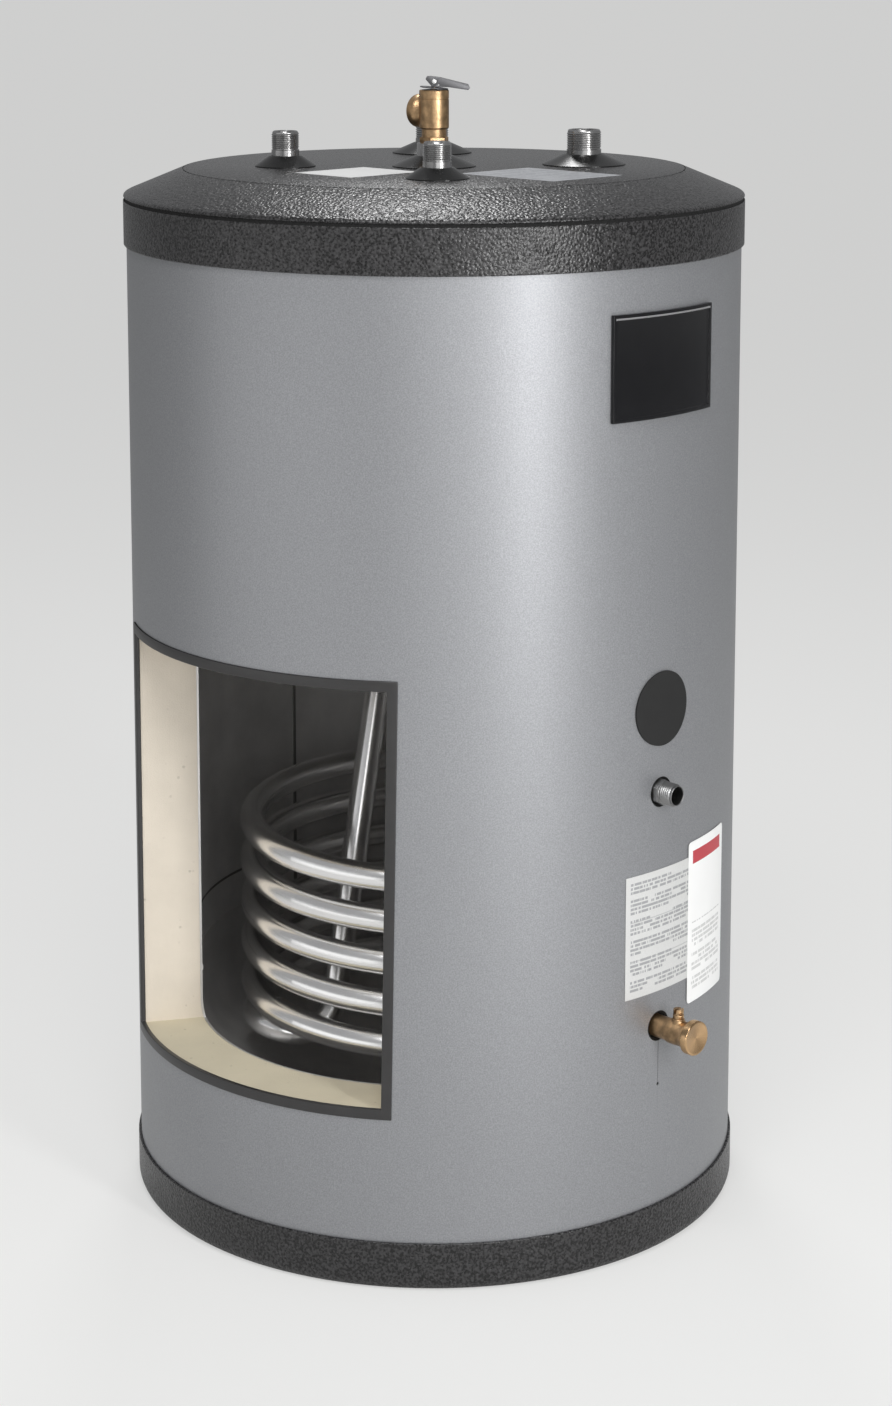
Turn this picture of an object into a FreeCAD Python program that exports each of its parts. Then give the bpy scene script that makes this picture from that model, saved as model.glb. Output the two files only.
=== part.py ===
"""Floor-standing indirect water heater with a cutaway window.

Millimetres, +Z up. The origin is where the heater's vertical axis meets the floor.
The front, with the drain valve and the badge, faces -Y. Angles named BETA are measured round
the axis from the front, and grow towards +X.
"""
import FreeCAD, Part
import math
import os

Vec = FreeCAD.Vector
UP = Vec(0, 0, 1)

# Clearances
REST_GAP = 0.2          # between pieces that only lie against each other
SLEEVE_GAP = 0.3        # lid and pan over the jacket, collars round the nipples
SOCKET_GAP = 0.1        # pipes and threads seated in their sockets
RUNNING_GAP = 0.05      # radial, round shafts and pins that turn or slide
MOVING_GAP = 0.3        # between faces of pieces that move past each other

# Jacket
JACKET_R = 295.3
JACKET_WALL = 1.2
JACKET_TOP_Z = 970.0
SEAM_BETA = 180.0
SEAM_WIDTH = 20.0
SEAM_END_GAP = 1.0
RIVET_COUNT = 8
RIVET_R = 1.6
RIVET_HEAD_R = 3.2
RIVET_HEAD_HEIGHT = 1.0
RIVET_END_MARGIN = 45.0
VENT_HOLE_Z = 164.0
VENT_HOLE_R = 1.6
SLIT_WIDTH = 0.6

# Base pan
PAN_RIM_Z = 46.0
PAN_WALL = 2.4
PAN_FLOOR = 4.0
PAN_EDGE_ROUND = 10.0
PAN_RIM_ROUND = 1.0

# Lid
LID_WALL = 2.4
LID_SEAM_Z = 935.0
LID_SHOULDER_Z = 983.0
LID_TOP_Z = 1006.6
LID_TOP_R = 240.7
LID_SHOULDER_ROUND = 8.0
LID_EDGE_ROUND = 5.0
LID_HOLE_MARGIN = 3.0

# Tank
FOAM_THICKNESS = 56.6
FOAM_SPLIT_BETA = 45.0      # where the foam's front and back parts meet
TANK_R = JACKET_R - JACKET_WALL - FOAM_THICKNESS
TANK_WALL = 2.0
HEAD_CROWN_R = 1.8 * TANK_R     # the head's middle is part of a sphere
HEAD_KNUCKLE_R = 0.346 * TANK_R # a tighter curve joins it to the flange
HEAD_FLANGE = 30.0
TANK_LOWER_SEAM_Z = 223.0
TANK_UPPER_SEAM_Z = 807.0
BEAD_WIDTH = 5.0
BEAD_HEIGHT = 0.8
RING_R = 150.0
RING_WALL = 3.0

# Cutaway window through jacket, foam and tank
WINDOW_LEFT_BETA = -121.0
WINDOW_RIGHT_BETA = -53.5
WINDOW_RIGHT_LEAN = 1.0     # degrees, the right edge leans outwards at its top
WINDOW_BOTTOM_Z = 171.7
WINDOW_TOP_Z = 565.5
TRIM_WIDTH = 8.0
TRIM_WALL = 1.5

# Heat-exchanger coil, one tube from the supply port to the return port
COIL_TUBE_R = 12.7
COIL_TUBE_WALL = 1.2
COIL_FROM_TANK = 56.5       # tank radius less coil radius
COIL_R = TANK_R - COIL_FROM_TANK
COIL_PITCH = 40.9
COIL_FRONT_BETA = -45.0
COIL_FRONT_Z = 351.5        # centreline of the top turn where it passes COIL_FRONT_BETA
COIL_START_BETA = -225.0
COIL_QUARTER_TURNS = 21
SUPPLY_BEND_R = 45.0
RISER_FOOT = Vec(-84.9, 56.6, 176.0)
RISER_BEND_R = 150.0
RISER_TOP_RUN = 30.0        # straight below the return nipple

# Pipe nipples on the lid
NIPPLE_HEIGHT = 34.0        # above the lid
NIPPLE_BOTTOM_Z = 890.0
NIPPLE_SOCKET = 25.0        # length of coil tube held in a nipple
NIPPLE_CHAMFER = 1.5
THREAD_LENGTH = 17.0
THREAD_RELIEF = 0.3         # mean depth of the thread below the pipe's outside
SMALL_PIPE_R = 13.335       # 3/4 in pipe
SMALL_PIPE_BORE_R = 10.46
LARGE_PIPE_R = 16.7         # 1 in pipe
COLD_INLET_AT = Vec(-97, -101, 0)
HOT_OUTLET_AT = Vec(-101, 101, 0)
BOILER_SUPPLY_AT = Vec(117, -88, 0)
BOILER_RETURN_AT = Vec(120, 123, 0)
COLLAR_HEIGHT = 10.5
COLLAR_LIP = 1.0
SMALL_COLLAR_R = 29.2
LARGE_COLLAR_R = 40.3
COLLAR_TOP_MARGIN = 1.6
DIP_TUBE_R = 9.5
DIP_TUBE_WALL = 1.5
DIP_TUBE_BOTTOM_Z = 150.0
DIP_TUBE_FLARE = 4.0
DIP_TUBE_RECESS = 2.0

# Relief valve, heights above the lid
COUPLING_R = 16.5
COUPLING_TOP = 22.6
COUPLING_BORE_R = 13.2
COUPLING_DROP = 10.0        # how far the coupling reaches below the tank head's apex
VALVE_SHANK_LENGTH = 16.0
VALVE_HEX = 25.0
VALVE_HEX_BOTTOM = 23.2
VALVE_HEX_TOP = 30.0
VALVE_NECK_R = 11.8
VALVE_SHOULDER = 35.0
VALVE_BODY_R = 14.3
VALVE_BODY_TOP = 73.2
VALVE_GROOVE = 64.7
VALVE_GROOVE_WIDTH = 0.9
VALVE_GROOVE_DEPTH = 0.5
VALVE_INLET_R = 9.0
VALVE_SEAT = 39.0
VALVE_CHAMBER_R = 11.8
OUTLET_BETA = 180.0
OUTLET_HEIGHT = 52.5
OUTLET_NECK_R = 14.0
OUTLET_BOSS_R = 15.9
OUTLET_BOSS_START = 13.6
OUTLET_BOSS_END = 22.6
OUTLET_BORE_R = 12.1
OUTLET_BORE_START = 11.5
OUTLET_PORT_R = 8.0
BONNET_R = 13.6
BONNET_THICKNESS = 1.9
BONNET_PLUG = 4.0
SEAL_R = 10.6
SEAL_THICKNESS = 4.0
STEM_R = 2.5
STEM_ABOVE_PIN = 2.0
SPRING_R = 7.5
SPRING_WIRE_R = 0.8
SPRING_QUARTER_TURNS = 24
PROBE_R = 4.0
PROBE_BOTTOM_Z = 830.0
PROBE_SPIDER_HEIGHT = 3.0
PROBE_SPIDER_WIDTH = 2.0

# Relief lever, drawn round its pin; U runs along the lever, towards LEVER_BETA
LEVER_BETA = 45.0
LEVER_PIN_HEIGHT = 81.3     # above the lid
LEVER_PIN_R = 1.6
LEVER_PIN_HEAD_R = 2.4
LEVER_PIN_HEAD = 0.9
LEVER_HALF_WIDTH = 4.6
LEVER_SHEET = 1.2
LEVER_HOLE_AT = (4.4, -3.6)
LEVER_HOLE_R = 0.9
LEVER_OUTLINE = [
    (-6.7, 4.8), (-8.1, 2.1), (-1.7, -5.4), (13.6, -5.4), (32.8, -8.2), (34.4, -6.2),
    (32.8, -2.9), (6.4, 3.7), (-2.9, 5.0),
]

# Drain valve; distances are out from the jacket's surface
DRAIN_Z = 221.0
DRAIN_HOLE_R = 14.5
DRAIN_COUPLING_R = 13.4
DRAIN_COUPLING_RECESS = 4.0
TANK_FITTING_DROP = 6.0     # how far a fitting reaches inside the tank wall
DRAIN_SHANK_R = 10.65       # 1/2 in pipe thread
DRAIN_SHANK_LENGTH = 42.0
DRAIN_FLANGE_R = 12.6
DRAIN_FLANGE_START = -3.5
DRAIN_FLANGE_END = 3.0
DRAIN_BARREL_R = 10.8
DRAIN_CHAMBER_R = 11.8
DRAIN_CHAMBER_START = 14.0
DRAIN_CHAMBER_END = 33.5
DRAIN_SPOUT_R = 13.3
DRAIN_SPOUT_END = 42.7
DRAIN_BORE_R = 6.5
DRAIN_STEM_OUT = 24.4
DRAIN_BALL_R = 8.8
DRAIN_BALL_BORE_R = 5.0
DRAIN_BOSS_R = 5.8
DRAIN_BOSS_TOP = 14.0       # above the valve's axis
DRAIN_NUT_R = 5.2
DRAIN_NUT_TOP = 18.0
DRAIN_STEM_R = 3.2
DRAIN_STEM_HEAD_R = 4.85
DRAIN_STEM_TOP = 23.0
DRAIN_SLOT_WIDTH = 2.4
DRAIN_SLOT_DEPTH = 3.6
DRAIN_CAP_R = 16.2
DRAIN_CAP_START = 39.3
DRAIN_CAP_END = 47.0
DRAIN_CAP_WALL = 2.4
DRAIN_CAP_CHAMFER = 0.6
WASHER_HOLE_R = 7.0

# Control well and hole cover
WELL_Z = 447.0
WELL_HOLE_R = 14.35
WELL_COUPLING_R = 12.7
WELL_COUPLING_OUT = 1.5
WELL_R = 10.65              # 1/2 in pipe thread
WELL_OUT = 20.0
WELL_BORE_R = 7.9
WELL_TUBE_R = 9.6
WELL_TUBE_START_R = 228.0   # distance from the heater's axis where the tube turns thick
WELL_END_R = 120.0          # distance from the heater's axis
WELL_END_WALL = 2.0
COVER_Z = 526.5
COVER_R = 35.0
COVER_SHEET = 1.6
COVER_RIM_R = 29.5
COVER_RIM_WALL = 2.0
COVER_RIM_DEPTH = 12.0
JACKET_FIT = 0.2            # between the jacket and what lies on it

# Badge and labels
BADGE_HALF_BETA = 13.0
BADGE_BOTTOM_Z = 798.0
BADGE_TOP_Z = 895.0
BADGE_THICKNESS = 4.0
BADGE_RECESS = 0.8
BADGE_FRAME = 4.0
LABEL_SHEET = 0.2
LABEL_CORNER_R = 4.0
DATA_LABEL_BETAS = (-8.6, 14.0)
DATA_LABEL_LOW_Z = 255.5
DATA_LABEL_HIGH_Z = 373.0
SIDE_LABEL_BETAS = (8.5, 23.5)
SIDE_LABEL_LOW_Z = 229.0
SIDE_LABEL_HIGH_Z = 387.0
WHITE_TOP_LABEL = (-101.0, 1.0, 89.0, 76.0)     # centre X, Y, size X, Y
SILVER_TOP_LABEL = (2.5, -137.0, 94.0, 119.0)

# Worked out from the sizes above
JACKET_BORE_R = JACKET_R - JACKET_WALL
PAN_R = JACKET_R + SLEEVE_GAP + PAN_WALL
LID_R = JACKET_R + SLEEVE_GAP + LID_WALL
FOAM_R = JACKET_BORE_R - REST_GAP
WINDOW_MIDDLE_BETA = (WINDOW_LEFT_BETA + WINDOW_RIGHT_BETA) / 2
CROWN_DROP = math.sqrt((HEAD_CROWN_R - HEAD_KNUCKLE_R) ** 2 - (TANK_R - HEAD_KNUCKLE_R) ** 2)
HEAD_APEX_Z = TANK_UPPER_SEAM_Z + HEAD_FLANGE + HEAD_CROWN_R - CROWN_DROP
LARGE_PIPE_BORE_R = COIL_TUBE_R + SOCKET_GAP
NIPPLE_TOP_Z = LID_TOP_Z + NIPPLE_HEIGHT
PIN_Z = LID_TOP_Z + LEVER_PIN_HEIGHT
SPRING_BOTTOM_Z = LID_TOP_Z + VALVE_SEAT + REST_GAP + SEAL_THICKNESS
SPRING_TOP_Z = LID_TOP_Z + VALVE_BODY_TOP - BONNET_PLUG
WASHER_START = DRAIN_SPOUT_END + MOVING_GAP
WASHER_END = DRAIN_CAP_END - DRAIN_CAP_WALL - REST_GAP


# Helpers

def outward(beta):
    """Unit vector that points away from the heater's axis at angle beta."""
    angle = math.radians(beta)
    return Vec(math.sin(angle), -math.cos(angle), 0)


def along(beta):
    """Unit vector square to outward(beta), towards growing beta."""
    angle = math.radians(beta)
    return Vec(math.cos(angle), math.sin(angle), 0)


def at_height(point, z):
    return Vec(point.x, point.y, z)


def rod(radius, z_low, z_high, centre=Vec(0, 0, 0)):
    return Part.makeCylinder(radius, z_high - z_low, at_height(centre, z_low))


def pipe(outer_r, inner_r, z_low, z_high, centre=Vec(0, 0, 0)):
    return rod(outer_r, z_low, z_high, centre).cut(rod(inner_r, z_low, z_high, centre))


def spun(outline, centre=Vec(0, 0, 0)):
    """Solid spun round the vertical line through centre from (radius, z) corners."""
    corners = [Vec(radius, 0, z) for radius, z in outline]
    face = Part.Face(Part.makePolygon(corners + corners[:1]))
    solid = face.revolve(Vec(0, 0, 0), UP, 360)
    solid.translate(at_height(centre, 0))
    return solid


def radial_spun(outline, beta, z):
    """Solid spun round the radial line at beta and z from (distance from axis, radius) corners."""
    corners = [Vec(distance, 0, radius) for distance, radius in outline]
    face = Part.Face(Part.makePolygon(corners + corners[:1]))
    solid = face.revolve(Vec(0, 0, 0), Vec(1, 0, 0), 360)
    solid.rotate(Vec(0, 0, 0), UP, beta - 90)
    solid.translate(Vec(0, 0, z))
    return solid


def radial_rod(radius, start, end, beta, z):
    return Part.makeCylinder(radius, end - start, outward(beta) * start + Vec(0, 0, z), outward(beta))


def patch(beta_low, beta_high, z_low, z_high, inner_r, outer_r, corner_r=0):
    """Curved plate round the heater's axis, with rounded corners if asked."""
    corners = [
        outward(beta_low) * inner_r + Vec(0, 0, z_low),
        outward(beta_low) * outer_r + Vec(0, 0, z_low),
        outward(beta_low) * outer_r + Vec(0, 0, z_high),
        outward(beta_low) * inner_r + Vec(0, 0, z_high),
    ]
    face = Part.Face(Part.makePolygon(corners + corners[:1]))
    solid = face.revolve(Vec(0, 0, 0), UP, beta_high - beta_low)
    if corner_r:
        thickness = outer_r - inner_r
        corner_edges = [edge for edge in solid.Edges if abs(edge.Length - thickness) < 1e-6]
        solid = solid.makeFillet(corner_r, corner_edges)
    return solid


def circle_edges(solid, radius, z):
    """The solid's circular edges round the axis with this radius and height."""
    found = []
    for edge in solid.Edges:
        middle = edge.valueAt((edge.FirstParameter + edge.LastParameter) / 2)
        if abs(math.hypot(middle.x, middle.y) - radius) < 1e-4 and abs(middle.z - z) < 1e-4:
            found.append(edge)
    return found


def joined(shapes):
    whole = shapes[0]
    for shape in shapes[1:]:
        whole = whole.fuse(shape)
    return whole.removeSplitter()


def save(node, shape):
    """Write one node, after a check that it is made of sound solids."""
    solids = shape.Solids
    sound = all(solid.isValid() and solid.Volume > 0 for solid in solids)
    if not solids or not sound:
        raise ValueError("bad solid: " + node)
    body = solids[0] if len(solids) == 1 else Part.makeCompound(solids)
    body.exportStep(os.path.join("parts", node + ".step"))
    box = body.BoundBox
    print(f"{node:28s} solids {len(solids):2d} volume {body.Volume / 1000:10.2f} cm3"
          f" z {box.ZMin:8.2f} {box.ZMax:8.2f}")


# Wound tubes

def arc_edge(start, corner, end):
    """Arc from start to end that is tangent to the lines to their common corner."""
    middle = (start + end) * 0.5
    half_chord = (end - start).Length / 2
    height = (corner - middle).Length
    if height < 1e-7:
        return Part.LineSegment(start, end).toShape()
    half_turn = math.atan2(height, half_chord)
    on_arc = middle + (corner - middle) * (half_chord * math.tan(half_turn / 2) / height)
    return Part.Arc(start, on_arc, end).toShape()


def biarc(start, start_way, end, end_way):
    """Two arcs that join start to end, tangent to the unit vectors at both."""
    span = end - start
    ways = start_way + end_way
    spread = 2 * (1 - start_way.dot(end_way))
    along_ways = span.dot(ways)
    if spread < 1e-9:
        reach = span.dot(span) / (4 * span.dot(end_way))
    else:
        root = math.sqrt(along_ways ** 2 + spread * span.dot(span))
        reach = (root - along_ways) / spread
    first_corner = start + start_way * reach
    second_corner = end - end_way * reach
    meeting = (first_corner + second_corner) * 0.5
    return [arc_edge(start, first_corner, meeting), arc_edge(meeting, second_corner, end)]


def helix_point(radius, pitch, beta, start_beta, start_z):
    """Point and unit way of a turn that sinks by pitch for each full turn of beta."""
    z = start_z - pitch * (beta - start_beta) / 360
    way = along(beta) * (2 * math.pi * radius) - UP * pitch
    return outward(beta) * radius + Vec(0, 0, z), way.normalize()


def helix_edges(radius, pitch, start_beta, start_z, quarter_turns):
    edges = []
    for quarter in range(quarter_turns):
        low = start_beta + 90 * quarter
        here, here_way = helix_point(radius, pitch, low, start_beta, start_z)
        there, there_way = helix_point(radius, pitch, low + 90, start_beta, start_z)
        edges += biarc(here, here_way, there, there_way)
    return edges


def filled_tube(path, radius):
    start = path.Edges[0].firstVertex().Point
    way = path.Edges[0].tangentAt(path.Edges[0].FirstParameter)
    sweep = Part.BRepOffsetAPI.MakePipeShell(path)
    sweep.add(Part.Wire(Part.makeCircle(radius, start, way)))
    sweep.build()
    sweep.makeSolid()
    return Part.Solid(sweep.shape())


def round_tube(path, radius, bore_r=0):
    """Solid tube along the path, hollow if it has a bore."""
    tube = filled_tube(path, radius)
    return tube.cut(filled_tube(path, bore_r)) if bore_r else tube


def report_tube(name, path, tube, radius, bore_r=0):
    """Print the tube's volume against its section times its length, and its least gap to itself."""
    step = radius / 2
    points = path.discretize(Distance=step)
    apart = int(math.pi * radius * 2 / step)
    least = min(
        points[i].distanceToPoint(points[j])
        for i in range(0, len(points), 2)
        for j in range(i + apart, len(points), 2)
    )
    ratio = tube.Volume / (math.pi * (radius ** 2 - bore_r ** 2) * path.Length)
    print(f"{name}: length {path.Length:.0f}, volume ratio {ratio:.4f}, least gap {least - 2 * radius:.2f}")


def coil_path():
    """Supply port, bend, helix, turned-in foot, slanted riser and return port."""
    top_z = NIPPLE_BOTTOM_Z + NIPPLE_SOCKET
    start_z = COIL_FRONT_Z - COIL_PITCH * (COIL_START_BETA - COIL_FRONT_BETA) / 360
    first, first_way = helix_point(COIL_R, COIL_PITCH, COIL_START_BETA, COIL_START_BETA, start_z)
    supply_beta = math.degrees(math.atan2(BOILER_SUPPLY_AT.x, -BOILER_SUPPLY_AT.y)) - 360
    bend_z = start_z + COIL_PITCH * (COIL_START_BETA - supply_beta) / 360
    corner = at_height(BOILER_SUPPLY_AT, bend_z)
    bend_top = corner + UP * SUPPLY_BEND_R
    bend_end = corner + along(supply_beta) * SUPPLY_BEND_R
    edges = [Part.LineSegment(at_height(BOILER_SUPPLY_AT, top_z), bend_top).toShape()]
    edges.append(arc_edge(bend_top, corner, bend_end))
    edges += biarc(bend_end, along(supply_beta), first, first_way)
    edges += helix_edges(COIL_R, COIL_PITCH, COIL_START_BETA, start_z, COIL_QUARTER_TURNS)

    last_beta = COIL_START_BETA + 90 * COIL_QUARTER_TURNS
    last, last_way = helix_point(COIL_R, COIL_PITCH, last_beta, COIL_START_BETA, start_z)
    riser_corner = at_height(BOILER_RETURN_AT, NIPPLE_BOTTOM_Z - RISER_TOP_RUN)
    riser_way = (riser_corner - RISER_FOOT).normalize()
    edges += biarc(last, last_way, RISER_FOOT, riser_way)
    trim = RISER_BEND_R * math.tan(riser_way.getAngle(UP) / 2)
    riser_top = riser_corner - riser_way * trim
    nipple_start = riser_corner + UP * trim
    edges.append(Part.LineSegment(RISER_FOOT, riser_top).toShape())
    edges.append(arc_edge(riser_top, riser_corner, nipple_start))
    edges.append(Part.LineSegment(nipple_start, at_height(BOILER_RETURN_AT, top_z)).toShape())
    return Part.Wire(edges)


def heat_exchanger_coil():
    path = coil_path()
    bore_r = COIL_TUBE_R - COIL_TUBE_WALL
    tube = round_tube(path, COIL_TUBE_R, bore_r)
    report_tube("heat_exchanger_coil", path, tube, COIL_TUBE_R, bore_r)
    return tube


def relief_valve_spring():
    """Spring between the valve's seal and its bonnet."""
    height = SPRING_TOP_Z - SPRING_BOTTOM_Z - 2 * REST_GAP
    wound = height - 2 * SPRING_WIRE_R
    pitch = wound / (SPRING_QUARTER_TURNS / 4)
    top_z = SPRING_TOP_Z - REST_GAP - SPRING_WIRE_R
    path = Part.Wire(helix_edges(SPRING_R, pitch, 0, top_z, SPRING_QUARTER_TURNS))
    tube = round_tube(path, SPRING_WIRE_R)
    report_tube("relief_valve_spring", path, tube, SPRING_WIRE_R)
    return tube


# Tank

def dome(grow, seam_z, way):
    """Solid tank head, grown all round: flange, knuckle and crown; way is 1 up and -1 down."""
    tangent_z = seam_z + way * HEAD_FLANGE
    crown_centre = Vec(0, 0, tangent_z - way * CROWN_DROP)
    knuckle_centre = Vec(TANK_R - HEAD_KNUCKLE_R, 0, tangent_z)
    knuckle_r = HEAD_KNUCKLE_R + grow
    crown_r = HEAD_CROWN_R + grow
    meeting_way = (knuckle_centre - crown_centre).normalize()
    knuckle_way = (meeting_way + Vec(1, 0, 0)).normalize()
    crown_way = (meeting_way + UP * way).normalize()
    rim = Vec(TANK_R + grow, 0, seam_z)
    tangent = Vec(TANK_R + grow, 0, tangent_z)
    meeting = crown_centre + meeting_way * crown_r
    apex = crown_centre + UP * (way * crown_r)
    edges = [
        Part.LineSegment(Vec(0, 0, seam_z), rim).toShape(),
        Part.LineSegment(rim, tangent).toShape(),
        Part.Arc(tangent, knuckle_centre + knuckle_way * knuckle_r, meeting).toShape(),
        Part.Arc(meeting, crown_centre + crown_way * crown_r, apex).toShape(),
        Part.LineSegment(apex, Vec(0, 0, seam_z)).toShape(),
    ]
    return Part.Face(Part.Wire(edges)).revolve(Vec(0, 0, 0), UP, 360)


def tank_envelope(grow):
    """The whole tank as one solid, grown all round."""
    middle = rod(TANK_R + grow, TANK_LOWER_SEAM_Z, TANK_UPPER_SEAM_Z)
    return joined([dome(grow, TANK_LOWER_SEAM_Z, -1), middle, dome(grow, TANK_UPPER_SEAM_Z, 1)])


def tank_head(seam_z, way):
    return dome(0, seam_z, way).cut(dome(-TANK_WALL, seam_z, way))


def drain_hole(radius):
    return radial_rod(radius, TANK_R - 20, JACKET_R + 20, 0, DRAIN_Z)


def well_hole(radius):
    return radial_rod(radius, TANK_R - 20, JACKET_R + 20, 0, WELL_Z)


def window_cutter(grow):
    """The space cut away at the window, grown all round."""
    size = 2 * JACKET_R
    low_z = WINDOW_BOTTOM_Z - grow
    high_z = WINDOW_TOP_Z + grow
    middle_z = (low_z + high_z) / 2
    left = Part.makeBox(size, size, high_z - low_z, Vec(0, -grow, low_z))
    left.rotate(Vec(0, 0, 0), UP, WINDOW_LEFT_BETA - 90)
    right = Part.makeBox(size, size, 2 * size, Vec(0, grow - size, middle_z - size))
    right.rotate(Vec(0, 0, middle_z), Vec(1, 0, 0), -WINDOW_RIGHT_LEAN)
    right.rotate(Vec(0, 0, 0), UP, WINDOW_RIGHT_BETA - 90)
    return left.common(right)


def tank_shell():
    shell = pipe(TANK_R, TANK_R - TANK_WALL, TANK_LOWER_SEAM_Z, TANK_UPPER_SEAM_Z)
    beads = []
    for seam_z in (TANK_LOWER_SEAM_Z, TANK_UPPER_SEAM_Z):
        bore_r = TANK_R - TANK_WALL
        low = seam_z - BEAD_WIDTH / 2
        beads.append(pipe(bore_r, bore_r - BEAD_HEIGHT, low, low + BEAD_WIDTH))
    shell = joined([shell] + beads)
    shell = shell.cut(window_cutter(0))
    shell = shell.cut(drain_hole(DRAIN_COUPLING_R))
    return shell.cut(well_hole(WELL_COUPLING_R))


def tank_top_head():
    head = tank_head(TANK_UPPER_SEAM_Z, 1)
    ports = [
        (COLD_INLET_AT, SMALL_PIPE_R), (HOT_OUTLET_AT, SMALL_PIPE_R),
        (BOILER_SUPPLY_AT, LARGE_PIPE_R), (BOILER_RETURN_AT, LARGE_PIPE_R),
        (Vec(0, 0, 0), COUPLING_R),
    ]
    for centre, radius in ports:
        head = head.cut(rod(radius, TANK_UPPER_SEAM_Z, LID_TOP_Z, centre))
    return head


def tank_bottom_head():
    head = tank_head(TANK_LOWER_SEAM_Z, -1)
    return head.cut(window_cutter(0)).cut(drain_hole(DRAIN_COUPLING_R))


def under_bottom_head(inner_r, outer_r, gap):
    """Ring or disc that stands on the pan's floor and follows the bottom head's crown."""
    centre_z = TANK_LOWER_SEAM_Z - HEAD_FLANGE + CROWN_DROP
    crown = Part.makeSphere(HEAD_CROWN_R + gap, Vec(0, 0, centre_z))
    ring = rod(outer_r, PAN_FLOOR, TANK_LOWER_SEAM_Z - HEAD_FLANGE)
    if inner_r:
        ring = pipe(outer_r, inner_r, PAN_FLOOR, TANK_LOWER_SEAM_Z - HEAD_FLANGE)
    return ring.cut(crown)


def tank_support_ring():
    return under_bottom_head(RING_R, RING_R + RING_WALL, 0)


# Casing and foam

def base_pan():
    outer = rod(PAN_R, 0, PAN_RIM_Z)
    outer = outer.makeFillet(PAN_EDGE_ROUND, circle_edges(outer, PAN_R, 0))
    outer = outer.makeFillet(PAN_RIM_ROUND, circle_edges(outer, PAN_R, PAN_RIM_Z))
    return outer.cut(rod(PAN_R - PAN_WALL, PAN_FLOOR, PAN_RIM_Z))


def lid_form(inset):
    """Solid of the lid's outside, drawn in all round by inset."""
    radius = LID_R - inset
    top_z = LID_TOP_Z - inset
    slope = (LID_TOP_Z - LID_SHOULDER_Z) / (LID_R - LID_TOP_R)
    drop = inset * math.sqrt(1 + slope ** 2)
    shoulder_z = LID_SHOULDER_Z + slope * inset - drop
    top_r = LID_R - (top_z - LID_SHOULDER_Z + drop) / slope
    form = spun([(0, LID_SEAM_Z), (radius, LID_SEAM_Z), (radius, shoulder_z), (top_r, top_z), (0, top_z)])
    form = form.makeFillet(LID_SHOULDER_ROUND - inset, circle_edges(form, radius, shoulder_z))
    return form.makeFillet(LID_EDGE_ROUND - inset, circle_edges(form, top_r, top_z))


def top_port_holes(margin):
    ports = [
        (COLD_INLET_AT, SMALL_PIPE_R), (HOT_OUTLET_AT, SMALL_PIPE_R),
        (BOILER_SUPPLY_AT, LARGE_PIPE_R), (BOILER_RETURN_AT, LARGE_PIPE_R),
        (Vec(0, 0, 0), COUPLING_R),
    ]
    return [rod(radius + margin, TANK_UPPER_SEAM_Z, LID_TOP_Z + 1, centre) for centre, radius in ports]


def lid():
    shell = lid_form(0).cut(lid_form(LID_WALL))
    for hole in top_port_holes(LID_HOLE_MARGIN):
        shell = shell.cut(hole)
    return shell


def jacket():
    sheet = pipe(JACKET_R, JACKET_BORE_R, PAN_FLOOR, JACKET_TOP_Z)
    half_seam = math.degrees(SEAM_WIDTH / 2 / JACKET_R)
    lap = patch(SEAM_BETA - half_seam, SEAM_BETA + half_seam, PAN_RIM_Z + SEAM_END_GAP,
                LID_SEAM_Z - SEAM_END_GAP, JACKET_R, JACKET_R + JACKET_WALL)
    sheet = joined([sheet, lap]).cut(window_cutter(0))
    sheet = sheet.cut(drain_hole(DRAIN_HOLE_R)).cut(well_hole(WELL_HOLE_R))
    sheet = sheet.cut(radial_rod(COVER_RIM_R + REST_GAP, TANK_R, JACKET_R + 20, 0, COVER_Z))
    sheet = sheet.cut(radial_rod(VENT_HOLE_R, TANK_R, JACKET_R + 20, 0, VENT_HOLE_Z))
    slit = Part.makeBox(SLIT_WIDTH, JACKET_R, DRAIN_Z, Vec(-SLIT_WIDTH / 2, -1.5 * JACKET_R, 0))
    sheet = sheet.cut(slit)
    for z in rivet_heights():
        sheet = sheet.cut(radial_rod(RIVET_R + RUNNING_GAP, TANK_R, JACKET_R + 20, SEAM_BETA, z))
    return sheet


def rivet_heights():
    low = PAN_RIM_Z + RIVET_END_MARGIN
    high = LID_SEAM_Z - RIVET_END_MARGIN
    return [low + (high - low) * i / (RIVET_COUNT - 1) for i in range(RIVET_COUNT)]


def jacket_rivets():
    face_r = JACKET_R + JACKET_WALL
    rivets = []
    for z in rivet_heights():
        shank = radial_rod(RIVET_R, JACKET_BORE_R, face_r, SEAM_BETA, z)
        head = radial_rod(RIVET_HEAD_R, face_r, face_r + RIVET_HEAD_HEIGHT, SEAM_BETA, z)
        rivets.append(shank.fuse(head).removeSplitter())
    return Part.makeCompound(rivets)


def window_trim():
    """Channel strip that covers the jacket's cut edge all round the window."""
    slot_outer = JACKET_R + JACKET_FIT
    slot_inner = JACKET_BORE_R - JACKET_FIT
    low_z = WINDOW_BOTTOM_Z - 2 * TRIM_WIDTH
    high_z = WINDOW_TOP_Z + 2 * TRIM_WIDTH
    frame = pipe(slot_outer + TRIM_WALL, slot_inner - TRIM_WALL, low_z, high_z)
    frame = frame.common(window_cutter(TRIM_WIDTH)).cut(window_cutter(-JACKET_FIT - TRIM_WALL))
    slot = pipe(slot_outer, slot_inner, low_z, high_z).cut(window_cutter(-JACKET_FIT))
    return frame.cut(slot)


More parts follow.
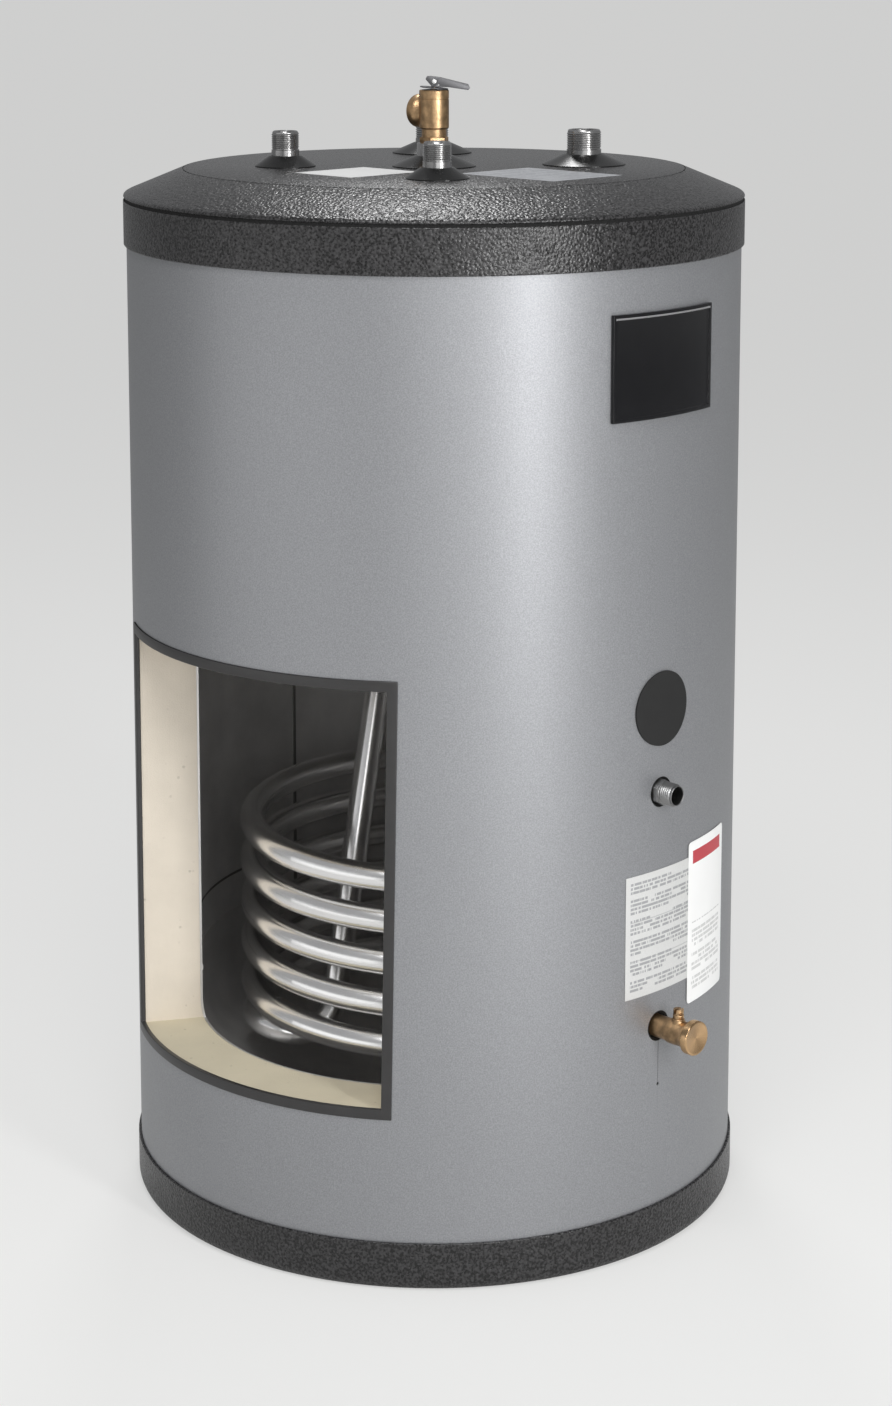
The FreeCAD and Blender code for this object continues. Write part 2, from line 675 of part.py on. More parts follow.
def trim_space():
    low_z = WINDOW_BOTTOM_Z - 2 * TRIM_WIDTH
    high_z = WINDOW_TOP_Z + 2 * TRIM_WIDTH
    ring = pipe(JACKET_R, JACKET_BORE_R - JACKET_FIT - TRIM_WALL - REST_GAP, low_z, high_z)
    return ring.common(window_cutter(TRIM_WIDTH + REST_GAP))


def foam_wall(space):
    """Foam between jacket and tank in the given space round the tank."""
    foam = space.cut(tank_envelope(REST_GAP))
    foam = foam.cut(window_cutter(0)).cut(trim_space())
    foam = foam.cut(drain_hole(DRAIN_COUPLING_R + REST_GAP))
    foam = foam.cut(well_hole(WELL_COUPLING_R + REST_GAP))
    recess_start = JACKET_BORE_R - COVER_RIM_DEPTH - REST_GAP
    return foam.cut(radial_rod(COVER_RIM_R + REST_GAP, recess_start, JACKET_R, 0, COVER_Z))


def foam_base():
    return under_bottom_head(0, RING_R - REST_GAP, REST_GAP)


def foam_top():
    inside_lid = lid_form(LID_WALL + REST_GAP).common(rod(FOAM_R, LID_SEAM_Z, LID_TOP_Z))
    foam = joined([rod(FOAM_R, TANK_UPPER_SEAM_Z + REST_GAP, LID_SEAM_Z), inside_lid])
    foam = foam.cut(tank_envelope(REST_GAP))
    for hole in top_port_holes(REST_GAP):
        foam = foam.cut(hole)
    return foam


# Ports on the lid

def nipple(radius, bore_r, centre):
    thread_r = radius - THREAD_RELIEF
    thread_z = NIPPLE_TOP_Z - NIPPLE_CHAMFER - THREAD_LENGTH
    return spun([
        (bore_r, NIPPLE_BOTTOM_Z), (radius, NIPPLE_BOTTOM_Z), (radius, thread_z), (thread_r, thread_z),
        (thread_r, NIPPLE_TOP_Z - NIPPLE_CHAMFER), (thread_r - NIPPLE_CHAMFER, NIPPLE_TOP_Z),
        (bore_r, NIPPLE_TOP_Z),
    ], centre)


def collar(base_r, pipe_r, centre):
    bore_r = pipe_r + SLEEVE_GAP
    top_r = bore_r + COLLAR_TOP_MARGIN
    return spun([
        (bore_r, LID_TOP_Z), (base_r, LID_TOP_Z), (base_r, LID_TOP_Z + COLLAR_LIP),
        (top_r, LID_TOP_Z + COLLAR_HEIGHT), (bore_r, LID_TOP_Z + COLLAR_HEIGHT),
    ], centre)


def dip_tube():
    bore_r = DIP_TUBE_R - DIP_TUBE_WALL
    top_z = NIPPLE_TOP_Z - DIP_TUBE_RECESS
    flare_r = SMALL_PIPE_BORE_R - SOCKET_GAP
    return spun([
        (bore_r, DIP_TUBE_BOTTOM_Z), (DIP_TUBE_R, DIP_TUBE_BOTTOM_Z), (DIP_TUBE_R, top_z - DIP_TUBE_FLARE),
        (flare_r, top_z - DIP_TUBE_FLARE), (flare_r, top_z), (bore_r, top_z),
    ], COLD_INLET_AT)


# Relief valve

def relief_valve_coupling():
    return pipe(COUPLING_R, COUPLING_BORE_R, HEAD_APEX_Z - COUPLING_DROP, LID_TOP_Z + COUPLING_TOP)


def relief_valve_body():
    z = LID_TOP_Z
    shank_r = COUPLING_BORE_R - SOCKET_GAP
    shank_bottom = z + COUPLING_TOP - VALVE_SHANK_LENGTH
    shank = rod(shank_r, shank_bottom, z + VALVE_HEX_BOTTOM)
    hexagon = Part.makePolygon([
        Vec(math.cos(math.radians(60 * i)), math.sin(math.radians(60 * i)), 0)
        * (VALVE_HEX / math.sqrt(3)) for i in range(7)
    ])
    hexagon.translate(Vec(0, 0, z + VALVE_HEX_BOTTOM))
    hex_block = Part.Face(hexagon).extrude(UP * (VALVE_HEX_TOP - VALVE_HEX_BOTTOM))
    groove_r = VALVE_BODY_R - VALVE_GROOVE_DEPTH
    barrel = spun([
        (0, z + VALVE_HEX_TOP), (VALVE_NECK_R, z + VALVE_HEX_TOP), (VALVE_NECK_R, z + VALVE_SHOULDER - 1),
        (VALVE_BODY_R, z + VALVE_SHOULDER), (VALVE_BODY_R, z + VALVE_GROOVE),
        (groove_r, z + VALVE_GROOVE), (groove_r, z + VALVE_GROOVE + VALVE_GROOVE_WIDTH),
        (VALVE_BODY_R, z + VALVE_GROOVE + VALVE_GROOVE_WIDTH), (VALVE_BODY_R, z + VALVE_BODY_TOP),
        (0, z + VALVE_BODY_TOP),
    ])
    boss = radial_spun([
        (0, 0), (0, OUTLET_NECK_R), (OUTLET_BOSS_START, OUTLET_NECK_R), (OUTLET_BOSS_START, OUTLET_BOSS_R),
        (OUTLET_BOSS_END, OUTLET_BOSS_R), (OUTLET_BOSS_END, 0),
    ], OUTLET_BETA, z + OUTLET_HEIGHT)
    body = joined([shank, hex_block, barrel, boss])
    body = body.cut(rod(VALVE_INLET_R, shank_bottom, z + VALVE_SEAT))
    body = body.cut(rod(VALVE_CHAMBER_R, z + VALVE_SEAT, z + VALVE_BODY_TOP))
    height = z + OUTLET_HEIGHT
    body = body.cut(radial_rod(OUTLET_PORT_R, 0, OUTLET_BORE_START, OUTLET_BETA, height))
    return body.cut(radial_rod(OUTLET_BORE_R, OUTLET_BORE_START, OUTLET_BOSS_END, OUTLET_BETA, height))


def relief_valve_bonnet():
    top = LID_TOP_Z + VALVE_BODY_TOP
    plug = rod(VALVE_CHAMBER_R - SOCKET_GAP, top - BONNET_PLUG, top)
    plate = rod(BONNET_R, top, top + BONNET_THICKNESS)
    return joined([plug, plate]).cut(rod(STEM_R + RUNNING_GAP, top - BONNET_PLUG, top + BONNET_THICKNESS))


def relief_valve_stem():
    stem = rod(STEM_R, SPRING_BOTTOM_Z, PIN_Z + STEM_ABOVE_PIN)
    return stem.cut(lever_cross_rod(LEVER_PIN_R, 2 * STEM_R))


def relief_valve_seal():
    return rod(SEAL_R, SPRING_BOTTOM_Z - SEAL_THICKNESS, SPRING_BOTTOM_Z)


def temperature_probe():
    top = LID_TOP_Z + COUPLING_TOP - VALVE_SHANK_LENGTH + PROBE_SPIDER_HEIGHT
    probe = rod(PROBE_R, PROBE_BOTTOM_Z, top)
    reach = VALVE_INLET_R - SOCKET_GAP
    low = top - PROBE_SPIDER_HEIGHT
    bars = []
    for size_x, size_y in ((2 * reach, PROBE_SPIDER_WIDTH), (PROBE_SPIDER_WIDTH, 2 * reach)):
        bars.append(Part.makeBox(size_x, size_y, PROBE_SPIDER_HEIGHT, Vec(-size_x / 2, -size_y / 2, low)))
    spider = bars[0].fuse(bars[1]).common(rod(reach, low, top))
    return joined([probe, spider])


# Relief lever; its own U, Z drawing is turned so that U runs along LEVER_BETA

def place_lever(shape):
    """Move a shape drawn in X, Z round the pin to its place on the valve."""
    shape.rotate(Vec(0, 0, 0), UP, LEVER_BETA - 90)
    shape.translate(Vec(0, 0, PIN_Z))
    return shape


def lever_cross_rod(radius, half_length, u=0.0, z=0.0):
    """Rod across the lever, square to its length."""
    return place_lever(Part.makeCylinder(radius, 2 * half_length, Vec(u, -half_length, z), Vec(0, 1, 0)))


def lever_block(outline, half_width):
    corners = [Vec(u, -half_width, z) for u, z in outline]
    return Part.Face(Part.makePolygon(corners + corners[:1])).extrude(Vec(0, 2 * half_width, 0))


def relief_lever():
    """Pressed channel: a top sheet with two skirts, open below and at its pivot end."""
    block = lever_block(LEVER_OUTLINE, LEVER_HALF_WIDTH)
    tip_u = max(u for u, z in LEVER_OUTLINE)
    heel_u = min(u for u, z in LEVER_OUTLINE)
    heel, tip, bend, crown = LEVER_OUTLINE[0], LEVER_OUTLINE[6], LEVER_OUTLINE[7], LEVER_OUTLINE[8]
    ceiling = [(tip[0] - LEVER_SHEET, tip[1] - LEVER_SHEET), (bend[0], bend[1] - LEVER_SHEET),
               (crown[0], crown[1] - LEVER_SHEET), (heel_u, heel[1] - LEVER_SHEET)]
    floor = [(heel_u, -tip_u), (tip[0] - LEVER_SHEET, -tip_u)]
    hollow = lever_block(ceiling + floor, LEVER_HALF_WIDTH - LEVER_SHEET)
    lever = place_lever(block.cut(hollow))
    lever = lever.cut(lever_cross_rod(LEVER_PIN_R + RUNNING_GAP, 2 * LEVER_HALF_WIDTH))
    return lever.cut(lever_cross_rod(LEVER_HOLE_R, 2 * LEVER_HALF_WIDTH, *LEVER_HOLE_AT))


def relief_lever_pin():
    half = LEVER_HALF_WIDTH + MOVING_GAP
    shaft = Part.makeCylinder(LEVER_PIN_R, 2 * half, Vec(0, -half, 0), Vec(0, 1, 0))
    heads = [
        Part.makeCylinder(LEVER_PIN_HEAD_R, LEVER_PIN_HEAD, Vec(0, half, 0), Vec(0, 1, 0)),
        Part.makeCylinder(LEVER_PIN_HEAD_R, LEVER_PIN_HEAD, Vec(0, -half, 0), Vec(0, -1, 0)),
    ]
    return place_lever(joined([shaft] + heads))


# Drain valve on the front

def drain_coupling():
    start = TANK_R - TANK_FITTING_DROP
    end = JACKET_R - DRAIN_COUPLING_RECESS
    outer = radial_rod(DRAIN_COUPLING_R, start, end, 0, DRAIN_Z)
    return outer.cut(radial_rod(DRAIN_SHANK_R + SOCKET_GAP, start, end, 0, DRAIN_Z))


def drain_at(distance, z=0.0):
    """Point on the drain valve's axis, a distance out from the jacket."""
    return Vec(0, -(JACKET_R + distance), DRAIN_Z + z)


def drain_upright(radius, low, high, distance=DRAIN_STEM_OUT):
    return rod(radius, DRAIN_Z + low, DRAIN_Z + high, drain_at(distance))


def drain_valve_body():
    steps = [
        (-DRAIN_SHANK_LENGTH, DRAIN_FLANGE_START, DRAIN_SHANK_R),
        (DRAIN_FLANGE_START, DRAIN_FLANGE_END, DRAIN_FLANGE_R),
        (DRAIN_FLANGE_END, DRAIN_CHAMBER_START, DRAIN_BARREL_R),
        (DRAIN_CHAMBER_START, DRAIN_CHAMBER_END, DRAIN_CHAMBER_R),
        (DRAIN_CHAMBER_END, DRAIN_SPOUT_END, DRAIN_SPOUT_R),
    ]
    outline = [(JACKET_R - DRAIN_SHANK_LENGTH, 0)]
    for start, end, radius in steps:
        outline += [(JACKET_R + start, radius), (JACKET_R + end, radius)]
    outline.append((JACKET_R + DRAIN_SPOUT_END, 0))
    body = joined([radial_spun(outline, 0, DRAIN_Z), drain_upright(DRAIN_BOSS_R, 0, DRAIN_BOSS_TOP)])
    bore_start = JACKET_R - DRAIN_SHANK_LENGTH
    body = body.cut(radial_rod(DRAIN_BORE_R, bore_start, JACKET_R + DRAIN_SPOUT_END, 0, DRAIN_Z))
    body = body.cut(drain_upright(DRAIN_STEM_R + RUNNING_GAP, 0, DRAIN_BOSS_TOP))
    return body.cut(Part.makeSphere(DRAIN_BALL_R + MOVING_GAP, drain_at(DRAIN_STEM_OUT)))


def drain_valve_stem():
    """Ball, spindle and slotted head in one; the ball's bore lies across the flow, shut."""
    ball = Part.makeSphere(DRAIN_BALL_R, drain_at(DRAIN_STEM_OUT))
    head_low = DRAIN_NUT_TOP + MOVING_GAP
    spindle = drain_upright(DRAIN_STEM_R, 0, DRAIN_STEM_TOP)
    head = drain_upright(DRAIN_STEM_HEAD_R, head_low, DRAIN_STEM_TOP)
    stem = joined([ball, spindle, head])
    bore = Part.makeCylinder(DRAIN_BALL_BORE_R, 4 * DRAIN_BALL_R,
                             drain_at(DRAIN_STEM_OUT) - Vec(2 * DRAIN_BALL_R, 0, 0), Vec(1, 0, 0))
    slot_length = 4 * DRAIN_STEM_HEAD_R
    corner = drain_at(DRAIN_STEM_OUT, DRAIN_STEM_TOP - DRAIN_SLOT_DEPTH)
    corner = corner - Vec(slot_length / 2, DRAIN_SLOT_WIDTH / 2, 0)
    slot = Part.makeBox(slot_length, DRAIN_SLOT_WIDTH, 2 * DRAIN_SLOT_DEPTH, corner)
    return stem.cut(bore).cut(slot)


def drain_packing_nut():
    nut = drain_upright(DRAIN_NUT_R, DRAIN_BOSS_TOP, DRAIN_NUT_TOP)
    return nut.cut(drain_upright(DRAIN_STEM_R + RUNNING_GAP, DRAIN_BOSS_TOP, DRAIN_NUT_TOP))


def drain_cap():
    end = JACKET_R + DRAIN_CAP_END
    start = JACKET_R + DRAIN_CAP_START
    cavity_r = DRAIN_SPOUT_R + MOVING_GAP
    floor = end - DRAIN_CAP_WALL
    return radial_spun([
        (start, cavity_r), (start, DRAIN_CAP_R), (end - DRAIN_CAP_CHAMFER, DRAIN_CAP_R),
        (end, DRAIN_CAP_R - DRAIN_CAP_CHAMFER), (end, 0), (floor, 0), (floor, cavity_r),
    ], 0, DRAIN_Z)


def drain_cap_washer():
    start = JACKET_R + WASHER_START
    end = JACKET_R + WASHER_END
    washer_r = DRAIN_SPOUT_R
    washer = radial_rod(washer_r, start, end, 0, DRAIN_Z)
    return washer.cut(radial_rod(WASHER_HOLE_R, start, end, 0, DRAIN_Z))


# Control well, hole cover, badge and labels

def well_coupling():
    start = TANK_R - TANK_FITTING_DROP
    end = JACKET_R + WELL_COUPLING_OUT
    outer = radial_rod(WELL_COUPLING_R, start, end, 0, WELL_Z)
    return outer.cut(radial_rod(WELL_R + SOCKET_GAP, start, end, 0, WELL_Z))


def control_well():
    mouth = JACKET_R + WELL_OUT
    bottom = WELL_END_R + WELL_END_WALL
    return radial_spun([
        (WELL_END_R, 0), (WELL_END_R, WELL_TUBE_R), (WELL_TUBE_START_R, WELL_TUBE_R),
        (WELL_TUBE_START_R, WELL_R), (mouth - NIPPLE_CHAMFER, WELL_R), (mouth, WELL_R - NIPPLE_CHAMFER),
        (mouth, WELL_BORE_R), (bottom, WELL_BORE_R), (bottom, 0),
    ], 0, WELL_Z)


def front_hole_cover():
    face_r = JACKET_R + JACKET_FIT
    low_z = COVER_Z - 2 * COVER_R
    high_z = COVER_Z + 2 * COVER_R
    plate = pipe(face_r + COVER_SHEET, face_r, low_z, high_z)
    plate = plate.common(radial_rod(COVER_R, TANK_R, JACKET_R + 20, 0, COVER_Z))
    rim_start = JACKET_BORE_R - COVER_RIM_DEPTH
    rim = radial_rod(COVER_RIM_R, rim_start, JACKET_R + 20, 0, COVER_Z)
    rim = rim.cut(radial_rod(COVER_RIM_R - COVER_RIM_WALL, rim_start, JACKET_R + 20, 0, COVER_Z))
    rim = rim.common(rod(face_r + COVER_SHEET / 2, low_z, high_z))
    return joined([plate, rim])


def badge():
    back = JACKET_R + JACKET_FIT
    front = back + BADGE_THICKNESS
    plate = patch(-BADGE_HALF_BETA, BADGE_HALF_BETA, BADGE_BOTTOM_Z, BADGE_TOP_Z, back, front)
    frame_beta = math.degrees(BADGE_FRAME / JACKET_R)
    inside = BADGE_HALF_BETA - frame_beta
    recess = patch(-inside, inside, BADGE_BOTTOM_Z + BADGE_FRAME, BADGE_TOP_Z - BADGE_FRAME,
                   front - BADGE_RECESS, front + BADGE_RECESS)
    return plate.cut(recess)


def jacket_label(betas, z_low, z_high, layer, corner_r=0):
    """Thin label on the jacket; layer 1 lies on layer 0."""
    inner_r = JACKET_R + JACKET_FIT + layer * (LABEL_SHEET + JACKET_FIT)
    return patch(*betas, z_low, z_high, inner_r, inner_r + LABEL_SHEET, corner_r)


def lid_label(placing):
    x, y, size_x, size_y = placing
    return Part.makeBox(size_x, size_y, LABEL_SHEET, Vec(x - size_x / 2, y - size_y / 2, LID_TOP_Z))


def main():
    os.makedirs("parts", exist_ok=True)
    save("base_pan", base_pan())
    save("jacket", jacket())
    save("jacket_rivets", jacket_rivets())
    save("lid", lid())
    save("window_trim", window_trim())
    foam_start_r = RING_R + RING_WALL + REST_GAP
    beside_window = (WINDOW_BOTTOM_Z, WINDOW_TOP_Z, foam_start_r, FOAM_R)
    save("foam_below_window", foam_wall(pipe(FOAM_R, foam_start_r, PAN_FLOOR, WINDOW_BOTTOM_Z)))
    save("foam_front", foam_wall(patch(WINDOW_MIDDLE_BETA, FOAM_SPLIT_BETA, *beside_window)))
    save("foam_back", foam_wall(patch(FOAM_SPLIT_BETA, WINDOW_MIDDLE_BETA + 360, *beside_window)))
    save("foam_above_window", foam_wall(pipe(FOAM_R, foam_start_r, WINDOW_TOP_Z, TANK_UPPER_SEAM_Z)))
    save("foam_top", foam_top())
    save("foam_base", foam_base())
    save("tank_shell", tank_shell())
    save("tank_top_head", tank_top_head())
    save("tank_bottom_head", tank_bottom_head())
    save("tank_support_ring", tank_support_ring())
    save("heat_exchanger_coil", heat_exchanger_coil())
    save("cold_inlet_nipple", nipple(SMALL_PIPE_R, SMALL_PIPE_BORE_R, COLD_INLET_AT))
    save("hot_outlet_nipple", nipple(SMALL_PIPE_R, SMALL_PIPE_BORE_R, HOT_OUTLET_AT))
    save("boiler_supply_nipple", nipple(LARGE_PIPE_R, LARGE_PIPE_BORE_R, BOILER_SUPPLY_AT))
    save("boiler_return_nipple", nipple(LARGE_PIPE_R, LARGE_PIPE_BORE_R, BOILER_RETURN_AT))
    save("cold_inlet_collar", collar(SMALL_COLLAR_R, SMALL_PIPE_R, COLD_INLET_AT))
    save("hot_outlet_collar", collar(SMALL_COLLAR_R, SMALL_PIPE_R, HOT_OUTLET_AT))
    save("boiler_supply_collar", collar(LARGE_COLLAR_R, LARGE_PIPE_R, BOILER_SUPPLY_AT))
    save("boiler_return_collar", collar(LARGE_COLLAR_R, LARGE_PIPE_R, BOILER_RETURN_AT))
    save("relief_valve_collar", collar(LARGE_COLLAR_R, COUPLING_R, Vec(0, 0, 0)))
    save("dip_tube", dip_tube())
    save("relief_valve_coupling", relief_valve_coupling())
    save("relief_valve_body", relief_valve_body())
    save("relief_valve_bonnet", relief_valve_bonnet())
    save("relief_valve_stem", relief_valve_stem())
    save("relief_valve_seal", relief_valve_seal())
    save("relief_valve_spring", relief_valve_spring())
    save("temperature_probe", temperature_probe())
    save("relief_lever", relief_lever())
    save("relief_lever_pin", relief_lever_pin())
    save("drain_coupling", drain_coupling())
    save("drain_valve_body", drain_valve_body())
    save("drain_valve_stem", drain_valve_stem())
    save("drain_packing_nut", drain_packing_nut())
    save("drain_cap", drain_cap())
    save("drain_cap_washer", drain_cap_washer())
    save("well_coupling", well_coupling())
    save("control_well", control_well())
    save("front_hole_cover", front_hole_cover())
    save("badge", badge())
    save("data_label", jacket_label(DATA_LABEL_BETAS, DATA_LABEL_LOW_Z, DATA_LABEL_HIGH_Z, 0))
    save("side_label",
         jacket_label(SIDE_LABEL_BETAS, SIDE_LABEL_LOW_Z, SIDE_LABEL_HIGH_Z, 1, LABEL_CORNER_R))
    save("white_top_label", lid_label(WHITE_TOP_LABEL))
    save("silver_top_label", lid_label(SILVER_TOP_LABEL))


if __name__ == "__main__":
    main()
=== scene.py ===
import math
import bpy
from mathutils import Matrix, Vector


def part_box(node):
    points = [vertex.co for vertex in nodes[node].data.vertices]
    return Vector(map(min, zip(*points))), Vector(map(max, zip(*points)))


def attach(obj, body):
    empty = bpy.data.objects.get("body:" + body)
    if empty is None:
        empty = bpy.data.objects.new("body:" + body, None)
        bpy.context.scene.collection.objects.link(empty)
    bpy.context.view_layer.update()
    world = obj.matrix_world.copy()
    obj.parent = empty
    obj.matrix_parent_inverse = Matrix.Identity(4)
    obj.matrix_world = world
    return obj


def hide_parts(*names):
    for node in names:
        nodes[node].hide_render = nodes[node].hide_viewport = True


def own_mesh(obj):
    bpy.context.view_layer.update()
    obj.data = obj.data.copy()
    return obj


bl_info = {
    "name": "Cutaway Water Heater",
    "version": (1, 0, 0),
    "blender": (4, 5, 0),
    "location": "3D View > Sidebar > Heater",
    "description": "Finishes and detailed pieces for a floor-standing heater with a cutaway window",
    "category": "Object",
}

import bpy
from bpy.props import FloatProperty, FloatVectorProperty, IntProperty, PointerProperty

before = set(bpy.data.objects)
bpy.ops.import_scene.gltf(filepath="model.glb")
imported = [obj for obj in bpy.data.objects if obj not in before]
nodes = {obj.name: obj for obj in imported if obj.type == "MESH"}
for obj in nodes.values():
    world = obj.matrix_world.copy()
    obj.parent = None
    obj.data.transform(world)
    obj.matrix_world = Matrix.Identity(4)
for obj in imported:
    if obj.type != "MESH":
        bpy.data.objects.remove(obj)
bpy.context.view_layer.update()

MM = 0.001
HEATER = "heater"
PORTS = ("cold_inlet", "hot_outlet", "boiler_supply", "boiler_return")

# Places in millimetres, and angles round the heater in degrees from its front
LID_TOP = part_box("lid")[1].z / MM
LID_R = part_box("lid")[1].x / MM
JACKET_R = LID_R - 2.7
JACKET_SHEET = 1.15
PAN_RIM_Z = 48.0
VENT_Z = 164.0
VENT_R = 1.8
SLIT_HALF = 0.29
OUTLET_Z = LID_TOP + 52.5
TANK_SHEET = 2.0
WELD_TURN = 174.0
GIRTH_WELD_Z = 264.0
DATA_LABEL_EDGES = (-8.6, 14.0)
SIDE_LABEL_EDGES = (8.5, 23.5)


# Sizes and colours a user may change

class HeaterSizes(bpy.types.PropertyGroup):
    small_pitch: FloatProperty(
        name="Small thread pitch", description="Pitch of the 3/4 in pipe threads",
        default=1.814 * MM, unit="LENGTH")
    large_pitch: FloatProperty(
        name="Large thread pitch", description="Pitch of the 1 in pipe threads",
        default=2.209 * MM, unit="LENGTH")
    well_pitch: FloatProperty(
        name="Well thread pitch", description="Pitch of the control well's thread",
        default=2.3 * MM, unit="LENGTH")
    thread_depth: FloatProperty(
        name="Thread depth", description="Height of the ridge of a port's thread",
        default=0.9 * MM, unit="LENGTH")
    well_depth: FloatProperty(
        name="Well thread depth", description="Height of the ridge of the control well's thread",
        default=1.2 * MM, unit="LENGTH")
    groove_height: FloatProperty(
        name="Lid groove", description="Height of the groove under the lid's shoulder",
        default=3.0 * MM, unit="LENGTH")
    groove_depth: FloatProperty(
        name="Groove depth", description="Depth of the groove under the lid's shoulder",
        default=1.5 * MM, unit="LENGTH")
    turning_steps: IntProperty(
        name="Turning steps", description="Sides of the small turned pieces", default=64, min=24, max=256)
    rim_steps: IntProperty(
        name="Rim steps", description="Sides of the lid", default=256, min=64, max=720)


class HeaterColours(bpy.types.PropertyGroup):
    paint: FloatVectorProperty(
        name="Jacket paint", description="Grey paint of the jacket", subtype="COLOR", size=4,
        default=(0.300, 0.305, 0.318, 1.0))
    casing: FloatVectorProperty(
        name="Casing plastic", description="Grained plastic of lid and base pan", subtype="COLOR", size=4,
        default=(0.017, 0.0165, 0.017, 1.0))
    foam: FloatVectorProperty(
        name="Foam", description="Cut faces of the foam", subtype="COLOR", size=4,
        default=(0.70, 0.635, 0.54, 1.0))
    brass: FloatVectorProperty(
        name="Brass", description="Valve brass", subtype="COLOR", size=4,
        default=(0.57, 0.375, 0.205, 1.0))
    steel: FloatVectorProperty(
        name="Bright steel", description="Polished steel of coil and ports", subtype="COLOR", size=4,
        default=(0.74, 0.735, 0.73, 1.0))


class StageSettings(bpy.types.PropertyGroup):
    camera_at: FloatVectorProperty(
        name="Camera", description="Where the camera stands", subtype="XYZ", unit="LENGTH",
        default=(-1.9961, -1.9967, 1.2366))
    camera_turn: FloatVectorProperty(
        name="Camera turn", description="The camera's angles", subtype="EULER",
        default=(math.radians(90 - 9.085), 0.0, math.radians(-45.223)))
    lens: FloatProperty(
        name="Lens", description="Focal length in millimetres", default=75.226, unit="CAMERA")
    shift: FloatProperty(name="Shift", description="Downward shift of the lens", default=-0.22)
    room: FloatProperty(
        name="Room light", description="Strength of the light from all round", default=0.31, min=0.0)
    sky: FloatProperty(
        name="Background", description="Brightness of the room where it is seen or mirrored",
        default=0.34, min=0.0)
    key: FloatProperty(
        name="Key light", description="Power of the tall front panel in watts",
        default=41.5, unit="POWER")
    fill: FloatProperty(
        name="Fill light", description="Power of the panel behind the camera in watts",
        default=17.0, unit="POWER")
    side: FloatProperty(
        name="Side light", description="Power of the panel before the window in watts",
        default=5.5, unit="POWER")
    top: FloatProperty(
        name="Top light", description="Power of the panel above in watts",
        default=31.0, unit="POWER")
    back: FloatProperty(
        name="Back light", description="Power of the panel behind the lid in watts",
        default=19.0, unit="POWER")


# Shader sums

class Wire:
    """A shader socket that takes part in sums as a number does."""

    def __init__(self, shading, socket):
        self.shading = shading
        self.socket = socket

    def __add__(self, other):
        return self.shading.sum("ADD", self, other)

    def __sub__(self, other):
        return self.shading.sum("SUBTRACT", self, other)

    def __rsub__(self, other):
        return self.shading.sum("SUBTRACT", other, self)

    def __mul__(self, other):
        return self.shading.sum("MULTIPLY", self, other)

    def __truediv__(self, other):
        return self.shading.sum("DIVIDE", self, other)

    def __rtruediv__(self, other):
        return self.shading.sum("DIVIDE", other, self)

    def __gt__(self, other):
        return self.shading.sum("GREATER_THAN", self, other)

    def __lt__(self, other):
        return self.shading.sum("LESS_THAN", self, other)

    __radd__ = __add__
    __rmul__ = __mul__


def shade(colour, factor):
    return tuple(min(1.0, part * factor) for part in colour[:3]) + (1.0,)


class Shading:
    """The nodes of a material or of the world."""

    def __init__(self, tree):
        self.tree = tree

    def node(self, kind, settings=None, inputs=None, output=0):
        """Add a node: its settings come first, then the values or links of its sockets."""
        made = self.tree.nodes.new(kind)
        for name, value in (settings or {}).items():
            setattr(made, name, value)
        for name, value in (inputs or {}).items():
            if isinstance(value, Wire):
                self.tree.links.new(value.socket, made.inputs[name])
            else:
                made.inputs[name].default_value = value
        return Wire(self, made.outputs[output])

    def sum(self, operation, first, second, clamp=False):
        settings = {"operation": operation, "use_clamp": clamp}
        return self.node("ShaderNodeMath", settings, {0: first, 1: second})

    def changed(self, operation, value):
        """Sum with one value, such as its root or its sine."""
        return self.node("ShaderNodeMath", {"operation": operation}, {0: value})


class Finish(Shading):
    """A material whose pattern is written with Wires; what is even all over is set on its sockets."""

    def __init__(self, name, **numbers):
        self.material = bpy.data.materials.new(name)
        self.material.use_nodes = True
        super().__init__(self.material.node_tree)
        self.shader = self.tree.nodes["Principled BSDF"]
        for socket, value in numbers.items():
            self.shader.inputs[socket.replace("_", " ")].default_value = value
        self.place = self.node("ShaderNodeTexCoord", output="Object")

    def clipped(self, value, low, high):
        """Nought where value is low, one where it is high, and even between."""
        return self.node("ShaderNodeMapRange", {"clamp": True}, {0: value, 1: low, 2: high, 3: 0.0, 4: 1.0})

    def noise(self, scale, detail=2.0, roughness=0.5, place=None):
        inputs = {"Vector": place or self.place, "Scale": scale, "Detail": detail, "Roughness": roughness}
        return self.node("ShaderNodeTexNoise", None, inputs)

    def cells(self, scale):
        return self.node("ShaderNodeTexVoronoi", None, {"Vector": self.place, "Scale": scale})

    def stretched(self, sides):
        """Object place scaled along each side, for grain that runs one way."""
        return self.node("ShaderNodeMapping", None, {"Vector": self.place, "Scale": sides})

    def axes(self):
        """The place's X, Y and Z as Wires."""
        split = self.node("ShaderNodeSeparateXYZ", None, {0: self.place}).socket.node
        return [Wire(self, split.outputs[axis]) for axis in range(3)]

    def blend(self, mask, first, second):
        """Colour that goes from first, where the mask is nought, to second."""
        return self.node("ShaderNodeMix", {"data_type": "RGBA"}, {0: mask, 6: first, 7: second}, 2)

    def tones(self, mask, colour, low, high):
        """Colour times low, where the mask is nought, to colour times high."""
        return self.blend(mask, shade(colour, low), shade(colour, high))

    def drive(self, socket, wire):
        self.tree.links.new(wire.socket, self.shader.inputs[socket])

    def relief(self, height, strength, distance):
        inputs = {"Strength": strength, "Distance": distance, "Height": height}
        self.drive("Normal", self.node("ShaderNodeBump", None, inputs))


def inside(value, low, high):
    """Mask of one where the value lies between low and high."""
    return (value > low) * (value < high)


